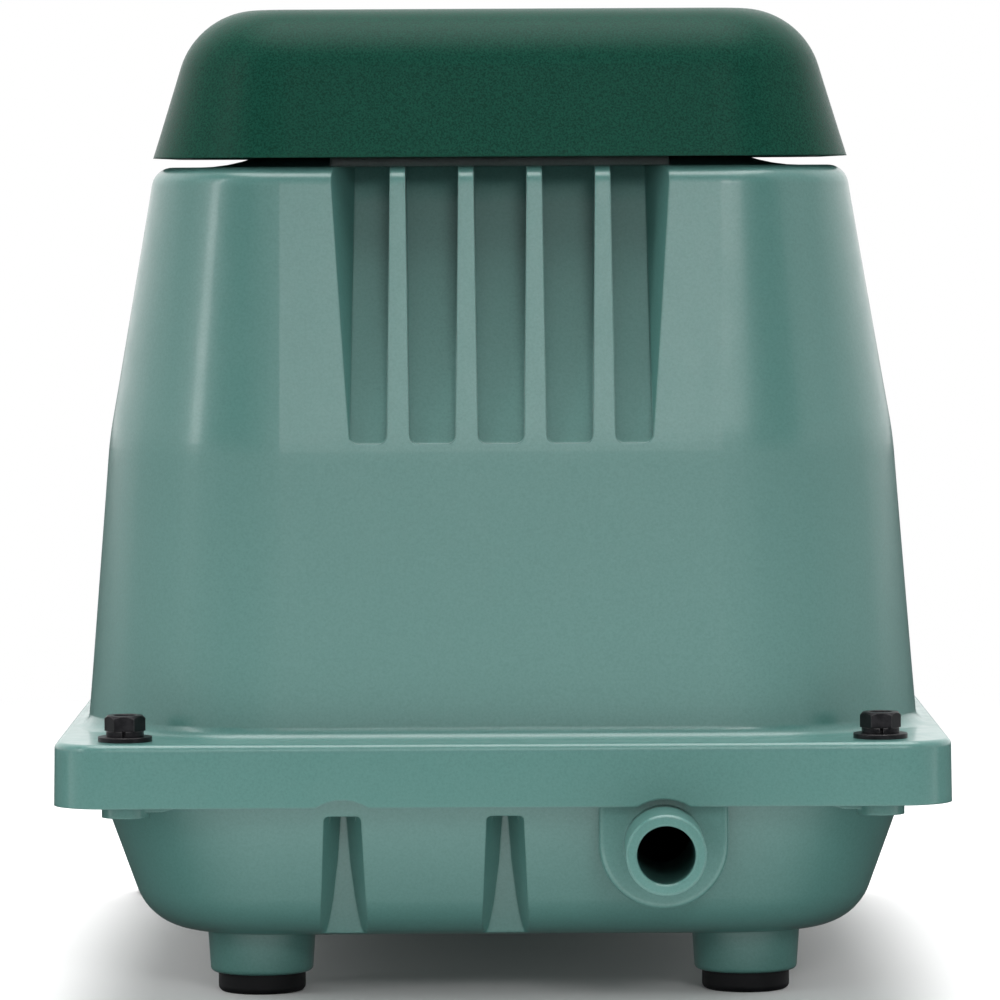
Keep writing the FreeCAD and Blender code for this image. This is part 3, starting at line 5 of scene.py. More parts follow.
import bmesh
import bpy
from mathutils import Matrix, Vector
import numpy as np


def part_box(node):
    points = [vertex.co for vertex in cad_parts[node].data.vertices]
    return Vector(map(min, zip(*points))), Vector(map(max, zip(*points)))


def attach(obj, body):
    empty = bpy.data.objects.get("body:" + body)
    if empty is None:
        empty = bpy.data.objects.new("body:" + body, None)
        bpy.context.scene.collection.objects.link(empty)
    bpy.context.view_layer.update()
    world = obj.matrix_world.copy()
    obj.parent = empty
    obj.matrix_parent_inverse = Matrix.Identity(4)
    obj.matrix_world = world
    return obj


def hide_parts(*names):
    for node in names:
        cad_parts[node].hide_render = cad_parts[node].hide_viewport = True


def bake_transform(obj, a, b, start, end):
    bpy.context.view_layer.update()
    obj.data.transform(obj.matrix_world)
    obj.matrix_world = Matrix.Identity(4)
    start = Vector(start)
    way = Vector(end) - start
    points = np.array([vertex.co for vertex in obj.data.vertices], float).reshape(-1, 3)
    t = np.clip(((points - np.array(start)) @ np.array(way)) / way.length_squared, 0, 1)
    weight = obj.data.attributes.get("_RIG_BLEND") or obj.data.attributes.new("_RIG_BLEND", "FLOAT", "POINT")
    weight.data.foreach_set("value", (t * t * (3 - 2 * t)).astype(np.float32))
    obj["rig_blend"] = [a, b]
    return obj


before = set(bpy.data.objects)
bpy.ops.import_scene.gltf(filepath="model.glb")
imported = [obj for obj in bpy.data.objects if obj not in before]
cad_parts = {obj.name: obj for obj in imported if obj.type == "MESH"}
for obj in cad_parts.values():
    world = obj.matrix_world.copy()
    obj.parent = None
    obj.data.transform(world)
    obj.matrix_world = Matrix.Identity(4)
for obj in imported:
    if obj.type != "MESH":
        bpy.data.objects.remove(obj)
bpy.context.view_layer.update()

MM = 0.001

WIRE = 0.9 * MM  # pitch of the coil's turns
WIRE_GROOVE = 0.26 * MM  # how deep the gap between two turns shows
SAMPLES_PER_TURN = 8
COIL_CORNER = 7.0 * MM
COIL_HOLE_Y = 8.5 * MM  # half sizes of the coil's opening, which fits over its bobbin
COIL_HOLE_Z = 18.5 * MM
COIL_HOLE_CORNER = 0.3 * MM

SHEET = 0.5 * MM  # one lamination with its varnish
SHEET_VARNISH = 0.02 * MM
SHEET_CHAMFER = 0.06 * MM
CORE_WEB = 10.0 * MM  # the E's back
CORE_MIDDLE_LEG = 14.0 * MM
CORE_OUTER_LEG = 7.5 * MM
CORE_SCREW_X = 41.0 * MM
CORE_SCREW_Y = 24.2 * MM
CORE_HOLE_R = 2.2 * MM

FOAM_VOXEL = 1.1 * MM
FOAM_PORE = 3.4 * MM
FOAM_PORE_DEPTH = 1.3 * MM
FOAM_SAG = 26.0 * MM
FOAM_SAG_DEPTH = 1.0 * MM

FLEX_INNER = 26.4 * MM  # the diaphragm's roll lies between these radii
FLEX_OUTER = 31.6 * MM

# The studio round the pump, as patches of sky. Each has its azimuth from and to, its elevation from and to,
# its brightness in stops over a grey wall, and whether it has a twin on the other side.
# Azimuth 0 is behind the camera and grows to its right, in degrees.
SKY = (
    (-50, 50, -1, 10, 0.5, False),  # white table in front of the pump
    (50, 110, -1, 12, 0.0, True),  # table beside the pump
    (-4, 4, 10, 20, 2.0, False),  # gap under the main boxes, over the camera
    (4, 12, 10, 20, 0.0, True),
    (4, 20, 20, 30, 3.5, False),  # main box, a little to the right
    (-25, -12, 20, 30, 0.5, False),  # fill box
    (-25, 25, 30, 42, -0.5, False),  # wall over the boxes
    (-65, -57, 10, 45, 3.0, False),  # upright strip box on the left
    (-80, -65, 10, 45, 0.0, False),  # its spill on the wall
    (55, 80, 10, 45, 0.0, False),  # wall on the right
    (80, 110, 10, 45, -0.5, True),  # walls at both sides
    (25, 110, 45, 65, -0.5, False),
    (-200, 200, 65, 90, 2.5, False),  # overhead box
    (110, 200, 0, 60, 0.5, True),  # white backdrop behind the pump
)
SKY_SOFT = 2.0  # how far each patch's edge fades, in degrees

FLOOR_HALF = 30.0  # metres
FLOOR_WHITE = (0.22, 0.75)  # the floor turns plain white between these distances from the pump's middle
FLOOR_GLOW_FRONT = 1.75  # how strongly the table in front glows on the pump
FLOOR_GLOW_NEAR = 0.06  # and under it
FLOOR_SHADE = (-0.17, -0.10)  # Y where the pump's own shade begins, and where it is full
FLOOR_GLOW_END = (-0.38, -0.22)  # Y where the front glow has faded out, and where it is full

LENS = 226.45  # mm, on a 36 mm wide sensor
SENSOR = 36.0
EYE = (0.0, -1.520, 0.1877)
EYE_TILT = 2.96  # degrees below level
EYE_ROLL = 0.28


class Nodes:
    """Builds one node tree, starting from an empty one."""

    def __init__(self, tree):
        self.tree = tree
        self.tree.nodes.clear()

    def add(self, kind, **settings):
        node = self.tree.nodes.new(kind)
        for key, value in settings.items():
            setattr(node, key, value)
        return node

    def join(self, source, target):
        self.tree.links.new(source, target)

    def feed(self, target, value):
        """Plugs a socket in, or sets a plain value."""
        if isinstance(value, bpy.types.NodeSocket):
            self.join(value, target)
        elif isinstance(value, tuple) and len(value) == 3 and target.type == "RGBA":
            target.default_value = (*value, 1.0)
        else:
            target.default_value = value

    def span(self, value, low, high, to_low=0.0, to_high=1.0):
        """Value from low..high, clamped, to to_low..to_high."""
        node = self.add("ShaderNodeMapRange", interpolation_type="SMOOTHSTEP")
        for name, number in zip(("From Min", "From Max", "To Min", "To Max"), (low, high, to_low, to_high)):
            self.feed(node.inputs[name], number)
        self.join(value, node.inputs["Value"])
        return node.outputs["Result"]

    def mix(self, share, first, second):
        node = self.add("ShaderNodeMix", data_type="RGBA")
        self.feed(node.inputs["Factor"], share)
        self.feed(node.inputs["A"], first)
        self.feed(node.inputs["B"], second)
        return node.outputs["Result"]

    def calc(self, operation, first, second=0.0):
        """One step of arithmetic, named as Blender names it."""
        node = self.add("ShaderNodeMath", operation=operation)
        self.feed(node.inputs[0], first)
        self.feed(node.inputs[1], second)
        return node.outputs["Value"]

    def blend_shaders(self, share, first, second):
        node = self.add("ShaderNodeMixShader")
        self.join(share, node.inputs["Fac"])
        self.join(first, node.inputs[1])
        self.join(second, node.inputs[2])
        return node.outputs["Shader"]

    def window(self, value, low, high, soft):
        """1 where value lies between low and high, fading over soft at both ends."""
        rise = self.span(value, low - soft / 2, low + soft / 2)
        fall = self.span(value, high + soft / 2, high - soft / 2)
        return self.calc("MULTIPLY", rise, fall)

    def seen(self):
        """1 where the camera looks straight at the thing."""
        return self.add("ShaderNodeLightPath").outputs["Is Camera Ray"]


class Finish(Nodes):
    """A procedural material: one Principled surface and the texture nodes that drive it."""

    def __init__(self, name, roughness=0.5, metallic=0.0):
        self.material = bpy.data.materials.new(name)
        self.material.use_nodes = True
        super().__init__(self.material.node_tree)
        self.surface = self.add("ShaderNodeBsdfPrincipled")
        self.output = self.add("ShaderNodeOutputMaterial")
        self.join(self.surface.outputs["BSDF"], self.output.inputs["Surface"])
        self.place = self.add("ShaderNodeTexCoord").outputs["Object"]
        self.set("Roughness", roughness)
        self.set("Metallic", metallic)
        self.normal = None

    def set(self, name, value):
        self.feed(self.surface.inputs[name], value)

    def stretched(self, scale):
        """The part's own coordinates, stretched along its axes."""
        node = self.add("ShaderNodeMapping")
        self.join(self.place, node.inputs["Vector"])
        node.inputs["Scale"].default_value = scale
        return node.outputs["Vector"]

    def noise(self, size, detail=3.0, roughness=0.5, place=None, warp=0.0):
        """Cloudy noise whose patches are about size metres wide, from 0 to 1."""
        node = self.add("ShaderNodeTexNoise")
        self.join(place or self.place, node.inputs["Vector"])
        node.inputs["Scale"].default_value = 1.0 / size
        node.inputs["Detail"].default_value = detail
        node.inputs["Roughness"].default_value = roughness
        node.inputs["Distortion"].default_value = warp
        return node.outputs["Fac"]

    def cells(self, size):
        """Distance inside a field of cells about size metres wide."""
        node = self.add("ShaderNodeTexVoronoi")
        self.join(self.place, node.inputs["Vector"])
        node.inputs["Scale"].default_value = 1.0 / size
        return node.outputs["Distance"]

    def round_edges(self, radius, samples=4):
        """Rounds crisp edges in shading, and returns a mask that is 1 on them."""
        bevel = self.add("ShaderNodeBevel", samples=samples)
        bevel.inputs["Radius"].default_value = radius
        self.normal = bevel.outputs["Normal"]
        geometry = self.add("ShaderNodeNewGeometry")
        dot = self.add("ShaderNodeVectorMath", operation="DOT_PRODUCT")
        self.join(self.normal, dot.inputs[0])
        self.join(geometry.outputs["Normal"], dot.inputs[1])
        return self.span(dot.outputs["Value"], 0.99, 0.80, 0.0, 1.0)

    def bump(self, height, depth, strength=1.0):
        node = self.add("ShaderNodeBump")
        node.inputs["Strength"].default_value = strength
        node.inputs["Distance"].default_value = depth
        self.join(height, node.inputs["Height"])
        if self.normal is not None:
            self.join(self.normal, node.inputs["Normal"])
        self.normal = node.outputs["Normal"]

    def done(self):
        if self.normal is not None:
            self.join(self.normal, self.surface.inputs["Normal"])
        return self.material


def casting_paint():
    """Satin stove enamel on die-cast metal: faint mottling, fine specks, orange peel, and a painted
    highlight along the edges.
    """
    f = Finish("casting_paint")
    edge = f.round_edges(0.7 * MM, 6)
    green = f.mix(f.noise(90 * MM, 2.0), (0.083, 0.212, 0.190), (0.092, 0.224, 0.202))
    green = f.mix(f.span(f.noise(0.6 * MM, 4.0, 0.75), 0.35, 0.70), green, (0.072, 0.188, 0.169))
    pale = f.span(f.noise(0.35 * MM, 2.0, 0.6), 0.66, 0.80)
    green = f.mix(f.calc("MULTIPLY", pale, 0.5), green, (0.165, 0.305, 0.280))
    # the edges are lightened towards a paler green: a painted highlight along them
    f.set("Base Color", f.mix(f.calc("MULTIPLY", edge, 0.25), green, (0.175, 0.315, 0.292)))
    f.set("Roughness", f.span(f.noise(6 * MM, 4.0, 0.6), 0.3, 0.7, 0.28, 0.34))
    f.set("Coat Weight", 0.25)
    f.set("Coat Roughness", 0.12)
    f.bump(f.noise(2.6 * MM, 2.0), 0.030 * MM, 0.6)
    f.bump(f.noise(0.45 * MM, 3.0, 0.6), 0.010 * MM, 0.5)
    return f.done()


def cover_plastic():
    """Moulded dark green plastic with a fine spark-eroded grain, painted glints on the grain and a painted
    highlight along the edges.
    """
    f = Finish("cover_plastic")
    edge = f.round_edges(0.5 * MM, 4)
    green = f.mix(f.noise(60 * MM, 2.0), (0.0062, 0.061, 0.040), (0.0074, 0.070, 0.047))
    grain = f.noise(0.45 * MM, 4.0, 0.7)
    green = f.mix(f.span(grain, 0.38, 0.60), (0.0036, 0.036, 0.023), green)
    # pale flecks mixed into the colour are painted glints of the grain
    painted_glint = f.span(f.noise(0.30 * MM, 2.0, 0.6), 0.62, 0.74)
    green = f.mix(f.calc("MULTIPLY", painted_glint, 0.55), green, (0.014, 0.098, 0.066))
    # the edges are lightened towards a paler green: a painted highlight along them
    f.set("Base Color", f.mix(f.calc("MULTIPLY", edge, 0.3), green, (0.020, 0.075, 0.055)))
    f.set("Roughness", f.span(grain, 0.35, 0.65, 0.30, 0.44))
    f.set("Specular IOR Level", 0.07)
    f.bump(grain, 0.05 * MM, 0.8)
    f.bump(f.cells(0.7 * MM), 0.02 * MM, 0.5)
    return f.done()


def blackened_steel():
    f = Finish("black_steel", metallic=0.75)
    edge = f.round_edges(0.35 * MM, 4)
    patch = f.noise(2.2 * MM, 5.0, 0.65)
    black = f.mix(f.span(patch, 0.35, 0.7), (0.009, 0.009, 0.011), (0.028, 0.027, 0.030))
    f.set("Base Color", f.mix(f.calc("MULTIPLY", edge, 0.55), black, (0.16, 0.155, 0.155)))
    f.set("Roughness", f.span(patch, 0.3, 0.7, 0.36, 0.55))
    f.bump(f.noise(0.5 * MM, 4.0, 0.7), 0.03 * MM, 0.6)
    return f.done()


def zinc_steel():
    f = Finish("zinc_steel", metallic=1.0)
    edge = f.round_edges(0.2 * MM, 4)
    cloud = f.noise(3 * MM, 5.0, 0.6)
    zinc = f.mix(f.span(cloud, 0.3, 0.7), (0.50, 0.50, 0.47), (0.66, 0.66, 0.64))
    f.set("Base Color", f.mix(f.calc("MULTIPLY", edge, 0.4), zinc, (0.80, 0.80, 0.78)))
    f.set("Roughness", f.span(cloud, 0.3, 0.7, 0.24, 0.40))
    f.bump(f.noise(0.35 * MM, 3.0, 0.6), 0.01 * MM, 0.5)
    return f.done()


def black_rubber():
    f = Finish("black_rubber")
    edge = f.round_edges(0.4 * MM, 4)
    bloom = f.noise(7 * MM, 5.0, 0.65)
    black = f.mix(f.span(bloom, 0.35, 0.75), (0.0028, 0.0034, 0.0042), (0.0065, 0.0070, 0.0080))
    f.set("Base Color", f.mix(f.calc("MULTIPLY", edge, 0.5), black, (0.020, 0.020, 0.021)))
    f.set("Specular IOR Level", 0.2)
    f.set("Roughness", f.span(bloom, 0.3, 0.7, 0.50, 0.68))
    f.bump(f.noise(0.6 * MM, 4.0, 0.7), 0.03 * MM, 0.5)
    return f.done()


def flap_rubber():
    f = Finish("flap_rubber", 0.48)
    f.round_edges(0.25 * MM, 4)
    f.set("Base Color", f.mix(f.noise(4 * MM, 4.0), (0.24, 0.052, 0.030), (0.33, 0.085, 0.050)))
    f.set("Subsurface Weight", 0.08)
    f.set("Subsurface Scale", 0.8 * MM)
    f.bump(f.noise(0.5 * MM, 3.0), 0.02 * MM, 0.4)
    return f.done()


def cord_jacket():
    f = Finish("cord_jacket", 0.42)
    scuff = f.noise(5 * MM, 6.0, 0.7)
    f.set("Base Color", f.mix(f.span(scuff, 0.5, 0.8), (0.012, 0.012, 0.013), (0.040, 0.039, 0.038)))
    f.set("Roughness", f.span(scuff, 0.3, 0.7, 0.34, 0.52))
    f.bump(f.noise(1.6 * MM, 3.0), 0.05 * MM, 0.5)
    return f.done()


def black_plastic():
    f = Finish("black_plastic")
    edge = f.round_edges(0.35 * MM, 4)
    grain = f.noise(0.8 * MM, 4.0, 0.6)
    black = f.mix(f.noise(9 * MM, 3.0), (0.012, 0.012, 0.013), (0.022, 0.022, 0.023))
    f.set("Base Color", f.mix(f.calc("MULTIPLY", edge, 0.4), black, (0.060, 0.060, 0.062)))
    f.set("Roughness", f.span(grain, 0.3, 0.7, 0.36, 0.50))
    f.bump(grain, 0.03 * MM, 0.5)
    return f.done()


def blade_brass():
    f = Finish("blade_brass", metallic=1.0)
    f.round_edges(0.2 * MM, 4)
    brushed = f.noise(0.5 * MM, 3.0, 0.6, f.stretched((0.05, 1.0, 1.0)))
    tarnish = f.noise(4 * MM, 4.0, 0.6)
    f.set("Base Color", f.mix(f.span(tarnish, 0.35, 0.7), (0.62, 0.52, 0.30), (0.78, 0.70, 0.50)))
    f.set("Roughness", f.span(brushed, 0.3, 0.7, 0.20, 0.36))
    f.bump(brushed, 0.006 * MM, 0.5)
    return f.done()


def filter_foam():
    f = Finish("filter_foam", 0.9)
    pores = f.cells(1.3 * MM)
    dust = f.mix(f.noise(25 * MM, 4.0, 0.6), (0.014, 0.014, 0.015), (0.026, 0.026, 0.026))
    # the pores are coloured near black: painted shade in the hollows of the foam
    f.set("Base Color", f.mix(f.span(pores, 0.15, 0.6), (0.003, 0.003, 0.003), dust))
    f.bump(pores, 0.5 * MM, 1.0)
    return f.done()


def plate_steel():
    """Galvanised sheet: pale spangle with faint roller lines."""
    f = Finish("plate_steel", metallic=0.95)
    f.round_edges(0.3 * MM, 4)
    spangle = f.cells(9 * MM)
    rolled = f.noise(0.5 * MM, 4.0, 0.6, f.stretched((1.0, 0.04, 1.0)))
    zinc = f.mix(f.span(spangle, 0.1, 0.7), (0.42, 0.44, 0.45), (0.56, 0.57, 0.57))
    f.set("Base Color", f.mix(f.span(rolled, 0.4, 0.7, 0.0, 0.3), zinc, (0.34, 0.35, 0.35)))
    f.set("Roughness", f.span(f.noise(7 * MM, 4.0), 0.3, 0.7, 0.34, 0.50))
    f.bump(rolled, 0.01 * MM, 0.4)
    return f.done()


def bare_aluminium():
    f = Finish("bare_aluminium", metallic=0.95)
    edge = f.round_edges(0.5 * MM, 4)
    flow = f.noise(14 * MM, 5.0, 0.6, warp=1.2)
    grey = f.mix(f.span(flow, 0.3, 0.7), (0.46, 0.47, 0.48), (0.62, 0.63, 0.64))
    f.set("Base Color", f.mix(f.calc("MULTIPLY", edge, 0.5), grey, (0.76, 0.76, 0.77)))
    f.set("Roughness", f.span(flow, 0.3, 0.7, 0.36, 0.54))
    f.bump(f.noise(0.7 * MM, 5.0, 0.7), 0.04 * MM, 0.6)
    return f.done()


def core_iron():
    """Varnished silicon-steel sheets, each a slightly different tone, with spots of rust."""
    f = Finish("core_iron", metallic=0.8)
    sheet = f.noise(1.2 * MM, 2.0, 0.7, f.stretched((0.02, 0.02, 1.0)))
    rust = f.span(f.noise(5 * MM, 6.0, 0.7), 0.58, 0.74)
    iron = f.mix(f.span(sheet, 0.3, 0.7), (0.085, 0.087, 0.095), (0.20, 0.20, 0.215))
    f.set("Base Color", f.mix(f.calc("MULTIPLY", rust, 0.35), iron, (0.15, 0.075, 0.040)))
    f.set("Roughness", f.span(f.noise(2 * MM, 4.0, 0.6), 0.3, 0.7, 0.38, 0.55))
    f.bump(f.noise(0.4 * MM, 4.0, 0.6), 0.02 * MM, 0.5)
    return f.done()


def magnet():
    f = Finish("magnet", metallic=1.0)
    edge = f.round_edges(0.3 * MM, 4)
    cloud = f.noise(5 * MM, 5.0)
    nickel = f.mix(cloud, (0.48, 0.46, 0.42), (0.62, 0.60, 0.56))
    f.set("Base Color", f.mix(f.calc("MULTIPLY", edge, 0.5), nickel, (0.80, 0.78, 0.74)))
    f.set("Roughness", f.span(cloud, 0.3, 0.7, 0.16, 0.30))
    return f.done()


def coil_copper():
    """Enamelled magnet wire."""
    f = Finish("coil_copper", metallic=0.85)
    tone = f.noise(3 * MM, 4.0, 0.6)
    f.set("Base Color", f.mix(tone, (0.38, 0.105, 0.030), (0.62, 0.22, 0.070)))
    f.set("Roughness", f.span(tone, 0.3, 0.7, 0.24, 0.40))
    f.set("Coat Weight", 0.6)
    f.set("Coat Roughness", 0.12)
    f.set("Coat Tint", (1.0, 0.72, 0.40, 1.0))
    f.bump(f.noise(0.6 * MM, 3.0), 0.02 * MM, 0.4)
    return f.done()


def bobbin_plastic():
    f = Finish("bobbin_plastic")
    edge = f.round_edges(0.3 * MM, 4)
    ivory = f.mix(f.noise(8 * MM, 4.0), (0.56, 0.53, 0.44), (0.66, 0.63, 0.54))
    f.set("Base Color", f.mix(f.calc("MULTIPLY", edge, 0.3), ivory, (0.78, 0.76, 0.69)))
    f.set("Roughness", f.span(f.noise(1.2 * MM, 4.0), 0.3, 0.7, 0.38, 0.52))
    f.set("Subsurface Weight", 0.12)
    f.set("Subsurface Scale", 1.5 * MM)
    f.bump(f.noise(0.9 * MM, 4.0), 0.02 * MM, 0.4)
    return f.done()


def chamber_plastic():
    """Glass-filled black-grey nylon with faint flow marks."""
    f = Finish("chamber_plastic")
    edge = f.round_edges(0.4 * MM, 4)
    flow = f.noise(10 * MM, 5.0, 0.6, f.stretched((1.0, 1.0, 0.35)), 0.8)
    grey = f.mix(f.span(flow, 0.3, 0.7), (0.022, 0.023, 0.025), (0.038, 0.039, 0.042))
    f.set("Base Color", f.mix(f.calc("MULTIPLY", edge, 0.4), grey, (0.085, 0.086, 0.090)))
    f.set("Roughness", f.span(f.noise(0.9 * MM, 5.0, 0.7), 0.3, 0.7, 0.40, 0.58))
    f.bump(f.noise(0.5 * MM, 5.0, 0.7), 0.03 * MM, 0.5)
    return f.done()


def lead_wire():
    f = Finish("lead_wire", 0.40)
    tone = f.noise(6 * MM, 4.0)
    f.set("Base Color", f.mix(tone, (0.40, 0.022, 0.018), (0.50, 0.035, 0.026)))
    f.bump(f.noise(1.1 * MM, 3.0), 0.02 * MM, 0.4)
    return f.done()


FINISHES = {
    "casting_paint": casting_paint,
    "cover_plastic": cover_plastic,
    "black_steel": blackened_steel,
    "zinc_steel": zinc_steel,
    "black_rubber": black_rubber,
    "flap_rubber": flap_rubber,
    "cord_jacket": cord_jacket,
    "black_plastic": black_plastic,
    "blade_brass": blade_brass,
    "filter_foam": filter_foam,
    "plate_steel": plate_steel,
    "bare_aluminium": bare_aluminium,
    "core_iron": core_iron,
    "magnet": magnet,
    "coil_copper": coil_copper,
    "bobbin_plastic": bobbin_plastic,
    "chamber_plastic": chamber_plastic,
    "lead_wire": lead_wire,
}


def paint_nodes():
    """Gives every CAD node the procedural finish of its material slot."""
    made = {slot: build() for slot, build in FINISHES.items()}
    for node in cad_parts.values():
        for index, old in enumerate(node.data.materials):
            node.data.materials[index] = made[old.name]
    return made


def piece_from(name, mesh, made, slot, body, *nodes):
    """Puts a finished mesh in the scene, where it stands for the CAD nodes and rides on their body."""
    piece = bpy.data.objects.new(name, mesh)
    bpy.context.scene.collection.objects.link(piece)
    mesh.materials.clear()
    mesh.materials.append(made[slot])
    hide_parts(*nodes)
    if body:
        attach(piece, body)
    return piece


def baked(piece):
    """Replaces a piece's modifiers, or its curve, with the mesh they make."""
    graph = bpy.context.evaluated_depsgraph_get()
    mesh = bpy.data.meshes.new_from_object(piece.evaluated_get(graph))
    bpy.data.objects.remove(piece)
    return mesh


def round_rect(half_a, half_b, radius, per_corner=8, per_side=10):
    """Points round a rounded rectangle, each with its outward direction."""
    points = []
    for quarter in range(4):
        side_a = 1 if quarter in (0, 3) else -1
        side_b = 1 if quarter < 2 else -1
        centre = Vector((side_a * (half_a - radius), side_b * (half_b - radius)))
        for step in range(per_corner + 1):
            angle = (quarter + step / per_corner) * math.pi / 2
            out = Vector((math.cos(angle), math.sin(angle)))
            points.append((centre + radius * out, out))
        next_a, next_b = -side_b, side_a
        following = Vector((next_a * (half_a - radius), next_b * (half_b - radius)))
        step_along = (following - centre) / per_side
        corner_end = points[-1]
        for step in range(1, per_side):
            points.append((corner_end[0] + step_along * step, corner_end[1]))
    return points


def wound_coil(side, made):
    """Layers of enamelled wire on the bobbin; the outer turns stand out and run as one helix."""
    low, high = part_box(f"coil_{side}")
    middle = (low + high) / 2
    half_y, half_z = (high.y - low.y) / 2, (high.z - low.z) / 2
    path = round_rect(half_y, half_z, COIL_CORNER)
    inner = round_rect(COIL_HOLE_Y, COIL_HOLE_Z, COIL_HOLE_CORNER)
    samples = round((high.x - low.x) / WIRE) * SAMPLES_PER_TURN
    mesh = bmesh.new()
    rings = []
    for index, ((at, out), (core_at, _)) in enumerate(zip(path, inner)):
        ring = []
        for sample in range(samples + 1):
            x = low.x + (high.x - low.x) * sample / samples
            across = (sample / SAMPLES_PER_TURN + index / len(path)) % 1.0 * 2 - 1
            dip = min(WIRE / 2 * (1 - math.sqrt(1 - across * across)), WIRE_GROOVE)
            y, z = at - out * dip
            ring.append(mesh.verts.new((x, middle.y + y, middle.z + z)))
        for x in (high.x, low.x):
            ring.append(mesh.verts.new((x, middle.y + core_at.x, middle.z + core_at.y)))
        rings.append(ring)
    for ring, following in zip(rings, rings[1:] + rings[:1]):
        for corner in range(len(ring)):
            after = (corner + 1) % len(ring)
            mesh.faces.new((ring[corner], ring[after], following[after], following[corner]))
    bmesh.ops.recalc_face_normals(mesh, faces=mesh.faces)
    wound = bpy.data.meshes.new(f"wound_coil_{side}")
    mesh.to_mesh(wound)
    mesh.free()
    wound.shade_smooth()
    return piece_from(f"wound_coil_{side}", wound, made, "coil_copper", "base", f"coil_{side}")


def core_outline(side):
    """The E of one lamination, from its back to the tips of its three legs."""
    low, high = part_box(f"stator_core_{side}")
    tip, back = (high.x, low.x) if side == "left" else (low.x, high.x)
    web = back + math.copysign(CORE_WEB, tip - back)
    half = high.y
    upper = [(back, half), (tip, half), (tip, half - CORE_OUTER_LEG), (web, half - CORE_OUTER_LEG)]
    upper += [(web, CORE_MIDDLE_LEG / 2), (tip, CORE_MIDDLE_LEG / 2)]
    return upper + [(x, -y) for x, y in reversed(upper)]


def circle(x, y, radius, steps=16):
    turns = [2 * math.pi * step / steps for step in range(steps)]
    return [(x + radius * math.cos(turn), y + radius * math.sin(turn)) for turn in turns]


def laminated_core(side, made):
    """A stack of thin varnished steel sheets with a slight chamfer, so that every sheet shows."""
    low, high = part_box(f"stator_core_{side}")
    curve = bpy.data.curves.new("lamination", "CURVE")
    curve.dimensions = "2D"
    curve.fill_mode = "BOTH"
    screw_x = math.copysign(CORE_SCREW_X, low.x)
    holes = [circle(screw_x, sign * CORE_SCREW_Y, CORE_HOLE_R) for sign in (-1, 1)]
    for loop in [core_outline(side)] + holes:
        spline = curve.splines.new("POLY")
        spline.points.add(len(loop) - 1)
        spline.use_cyclic_u = True
        for point, (x, y) in zip(spline.points, loop):
            point.co = (x, y, 0.0, 1.0)
    curve.bevel_depth = SHEET_CHAMFER
    curve.bevel_resolution = 0
    curve.offset = -SHEET_CHAMFER
    curve.extrude = (SHEET - SHEET_VARNISH) / 2 - SHEET_CHAMFER
    stack = bpy.data.objects.new("lamination_stack", curve)
    bpy.context.scene.collection.objects.link(stack)
    repeat = stack.modifiers.new("sheets", "ARRAY")
    repeat.use_relative_offset = False
    repeat.use_constant_offset = True
    repeat.constant_offset_displace = (0.0, 0.0, SHEET)
    repeat.count = round((high.z - low.z) / SHEET)
    mesh = baked(stack)
    for vertex in mesh.vertices:
        vertex.co.z += low.z + SHEET / 2
    return piece_from(f"laminated_core_{side}", mesh, made, "core_iron", "base", f"stator_core_{side}")


def copied_mesh(node):
    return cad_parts[node].data.copy()


def foam_block(made):
    """Open-cell foam: the pad's block, remeshed finely and eaten into by pores."""
    block = bpy.data.objects.new("foam_source", copied_mesh("filter_element"))
    bpy.context.scene.collection.objects.link(block)
    remesh = block.modifiers.new("fine", "REMESH")
    remesh.mode = "VOXEL"
    remesh.voxel_size = FOAM_VOXEL
    pores = ("pores", "VORONOI", FOAM_PORE, FOAM_PORE_DEPTH)
    sag = ("sag", "CLOUDS", FOAM_SAG, FOAM_SAG_DEPTH)
    for name, kind, size, depth in (pores, sag):
        texture = bpy.data.textures.new(name, kind)
        texture.noise_scale = size
        eat = block.modifiers.new(name, "DISPLACE")
        eat.texture = texture
        eat.texture_coords = "LOCAL"
        eat.mid_level = 0.0
        eat.strength = -depth
    mesh = baked(block)
    mesh.name = "filter_foam_block"
    return piece_from("filter_foam_block", mesh, made, "filter_foam", "housing", "filter_element")


def flexing_diaphragm(end, made):
    """Rubber that stays clamped at its rim while its middle travels with the armature."""
    node = f"diaphragm_{end}"
    piece = piece_from(f"rubber_diaphragm_{end}", copied_mesh(node), made, "black_rubber", None, node)
    low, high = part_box(node)
    middle = (low + high) / 2
    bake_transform(piece, "base", "armature", middle, middle + Vector((0.0, 1.0, 0.0)))
    spread = FLEX_OUTER - FLEX_INNER
    for vertex, share in zip(piece.data.vertices, piece.data.attributes["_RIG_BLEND"].data):
        radius = math.hypot(vertex.co.x - middle.x, vertex.co.z - middle.z)
        inward = min(max((FLEX_OUTER - radius) / spread, 0.0), 1.0)
        share.value = inward * inward * (3 - 2 * inward)
    return piece


def built_pieces(made):
    """The pieces whose look needs more than their plain CAD solid."""
    for side in ("left", "right"):
        wound_coil(side, made)
        laminated_core(side, made)
    for end in ("front", "rear"):
        flexing_diaphragm(end, made)
    foam_block(made)


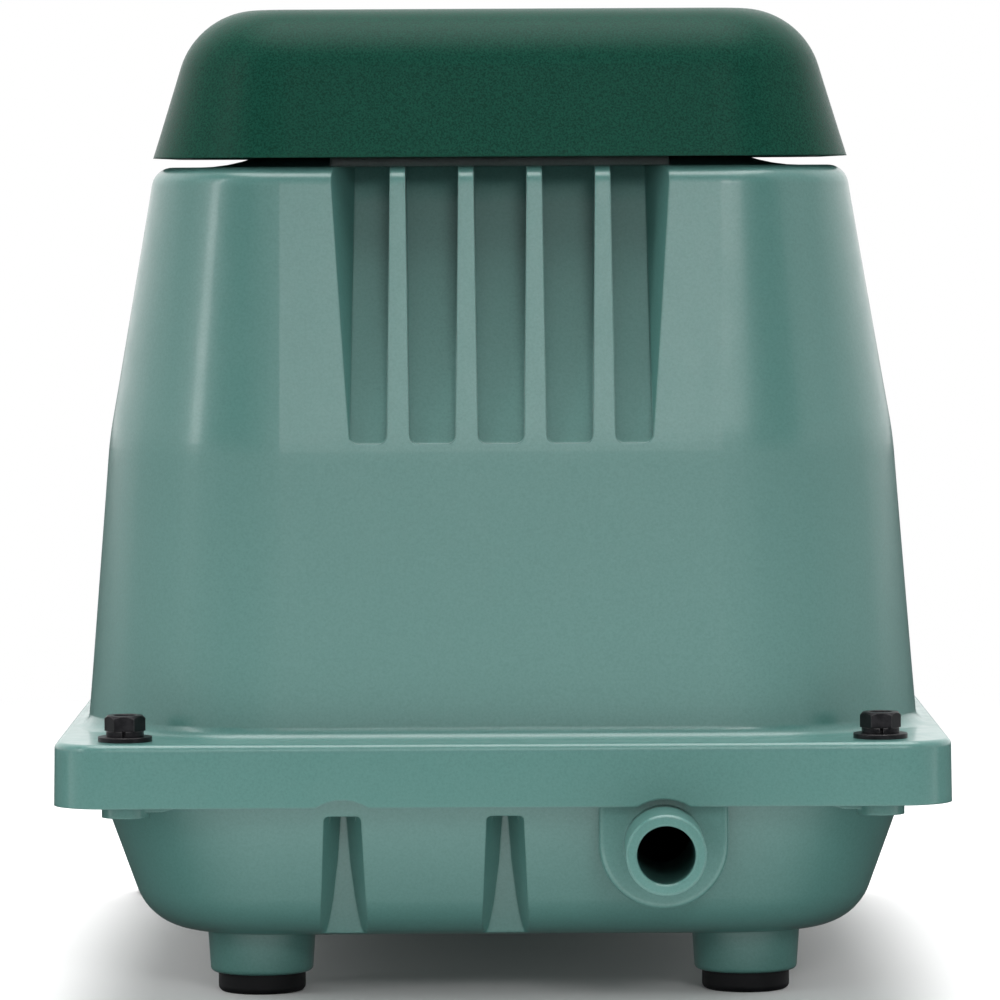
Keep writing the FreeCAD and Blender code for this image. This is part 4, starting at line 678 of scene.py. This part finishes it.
def studio_floor():
    """A wide pale floor that fades into the white surround, and glows on the pump from in front."""
    mesh = bpy.data.meshes.new("studio_floor")
    signs = ((-1, -1), (1, -1), (1, 1), (-1, 1))
    mesh.from_pydata([(x * FLOOR_HALF, y * FLOOR_HALF, 0) for x, y in signs], [], [(0, 1, 2, 3)])
    floor = bpy.data.objects.new("studio_floor", mesh)
    bpy.context.scene.collection.objects.link(floor)
    f = Finish("floor_paper", 0.8)
    f.set("Specular IOR Level", 0.1)
    f.set("Base Color", f.mix(f.noise(0.3, 3.0), (0.93, 0.93, 0.93), (0.95, 0.95, 0.945)))
    distance = f.add("ShaderNodeVectorMath", operation="LENGTH")
    f.join(f.place, distance.inputs[0])
    white = f.add("ShaderNodeEmission")
    away = f.span(distance.outputs["Value"], *FLOOR_WHITE)
    shown = f.blend_shaders(away, f.surface.outputs["BSDF"], white.outputs["Emission"])
    along = f.add("ShaderNodeSeparateXYZ")
    f.join(f.place, along.inputs["Vector"])
    lit = f.span(along.outputs["Y"], *reversed(FLOOR_SHADE))
    nearby = f.span(along.outputs["Y"], *FLOOR_GLOW_END)
    front = f.calc("MULTIPLY", f.calc("MULTIPLY", lit, nearby), FLOOR_GLOW_FRONT)
    under = f.span(along.outputs["Y"], *FLOOR_SHADE, 0.0, FLOOR_GLOW_NEAR)
    glow = f.add("ShaderNodeEmission")
    f.join(f.calc("ADD", front, under), glow.inputs["Strength"])
    shader = f.blend_shaders(f.seen(), glow.outputs["Emission"], shown)
    f.join(shader, f.output.inputs["Surface"])
    mesh.materials.append(f.done())


def studio_light():
    """A sky that is plain white to the camera, and patches of soft light to everything else."""
    world = bpy.data.worlds.new("studio")
    bpy.context.scene.world = world
    world.use_nodes = True
    n = Nodes(world.node_tree)
    along = n.add("ShaderNodeSeparateXYZ")
    n.join(n.add("ShaderNodeTexCoord").outputs["Generated"], along.inputs["Vector"])
    behind = n.calc("MULTIPLY", along.outputs["Y"], -1.0)
    azimuth = n.calc("MULTIPLY", n.calc("ARCTAN2", along.outputs["X"], behind), math.degrees(1.0))
    either_side = n.calc("ABSOLUTE", azimuth)
    elevation = n.calc("MULTIPLY", n.calc("ARCSINE", along.outputs["Z"]), math.degrees(1.0))
    total = 0.0
    for left, right, low, high, stops, twin in SKY:
        across = n.window(either_side if twin else azimuth, left, right, SKY_SOFT)
        patch = n.calc("MULTIPLY", across, n.window(elevation, low, high, SKY_SOFT))
        total = n.calc("ADD", n.calc("MULTIPLY", patch, 2.0**stops), total)
    lit = n.add("ShaderNodeBackground")
    white = n.add("ShaderNodeBackground")
    for background in (lit, white):
        n.feed(background.inputs["Color"], (1.0, 1.0, 1.0))
    n.join(total, lit.inputs["Strength"])
    output = n.add("ShaderNodeOutputWorld")
    shader = n.blend_shaders(n.seen(), lit.outputs["Background"], white.outputs["Background"])
    n.join(shader, output.inputs["Surface"])


def camera():
    """The photograph's view: low, square on to the outlet end, a long lens tilted a little down."""
    data = bpy.data.cameras.new("camera")
    data.sensor_width = SENSOR
    data.lens = LENS
    data.clip_start = 0.01
    data.clip_end = 100.0
    eye = bpy.data.objects.new("camera", data)
    eye.location = EYE
    eye.rotation_euler = (math.radians(90 - EYE_TILT), math.radians(EYE_ROLL), 0.0)
    bpy.context.scene.collection.objects.link(eye)
    bpy.context.scene.camera = eye


built_pieces(paint_nodes())
studio_floor()
studio_light()
camera()
bpy.context.scene.view_settings.view_transform = "Standard"
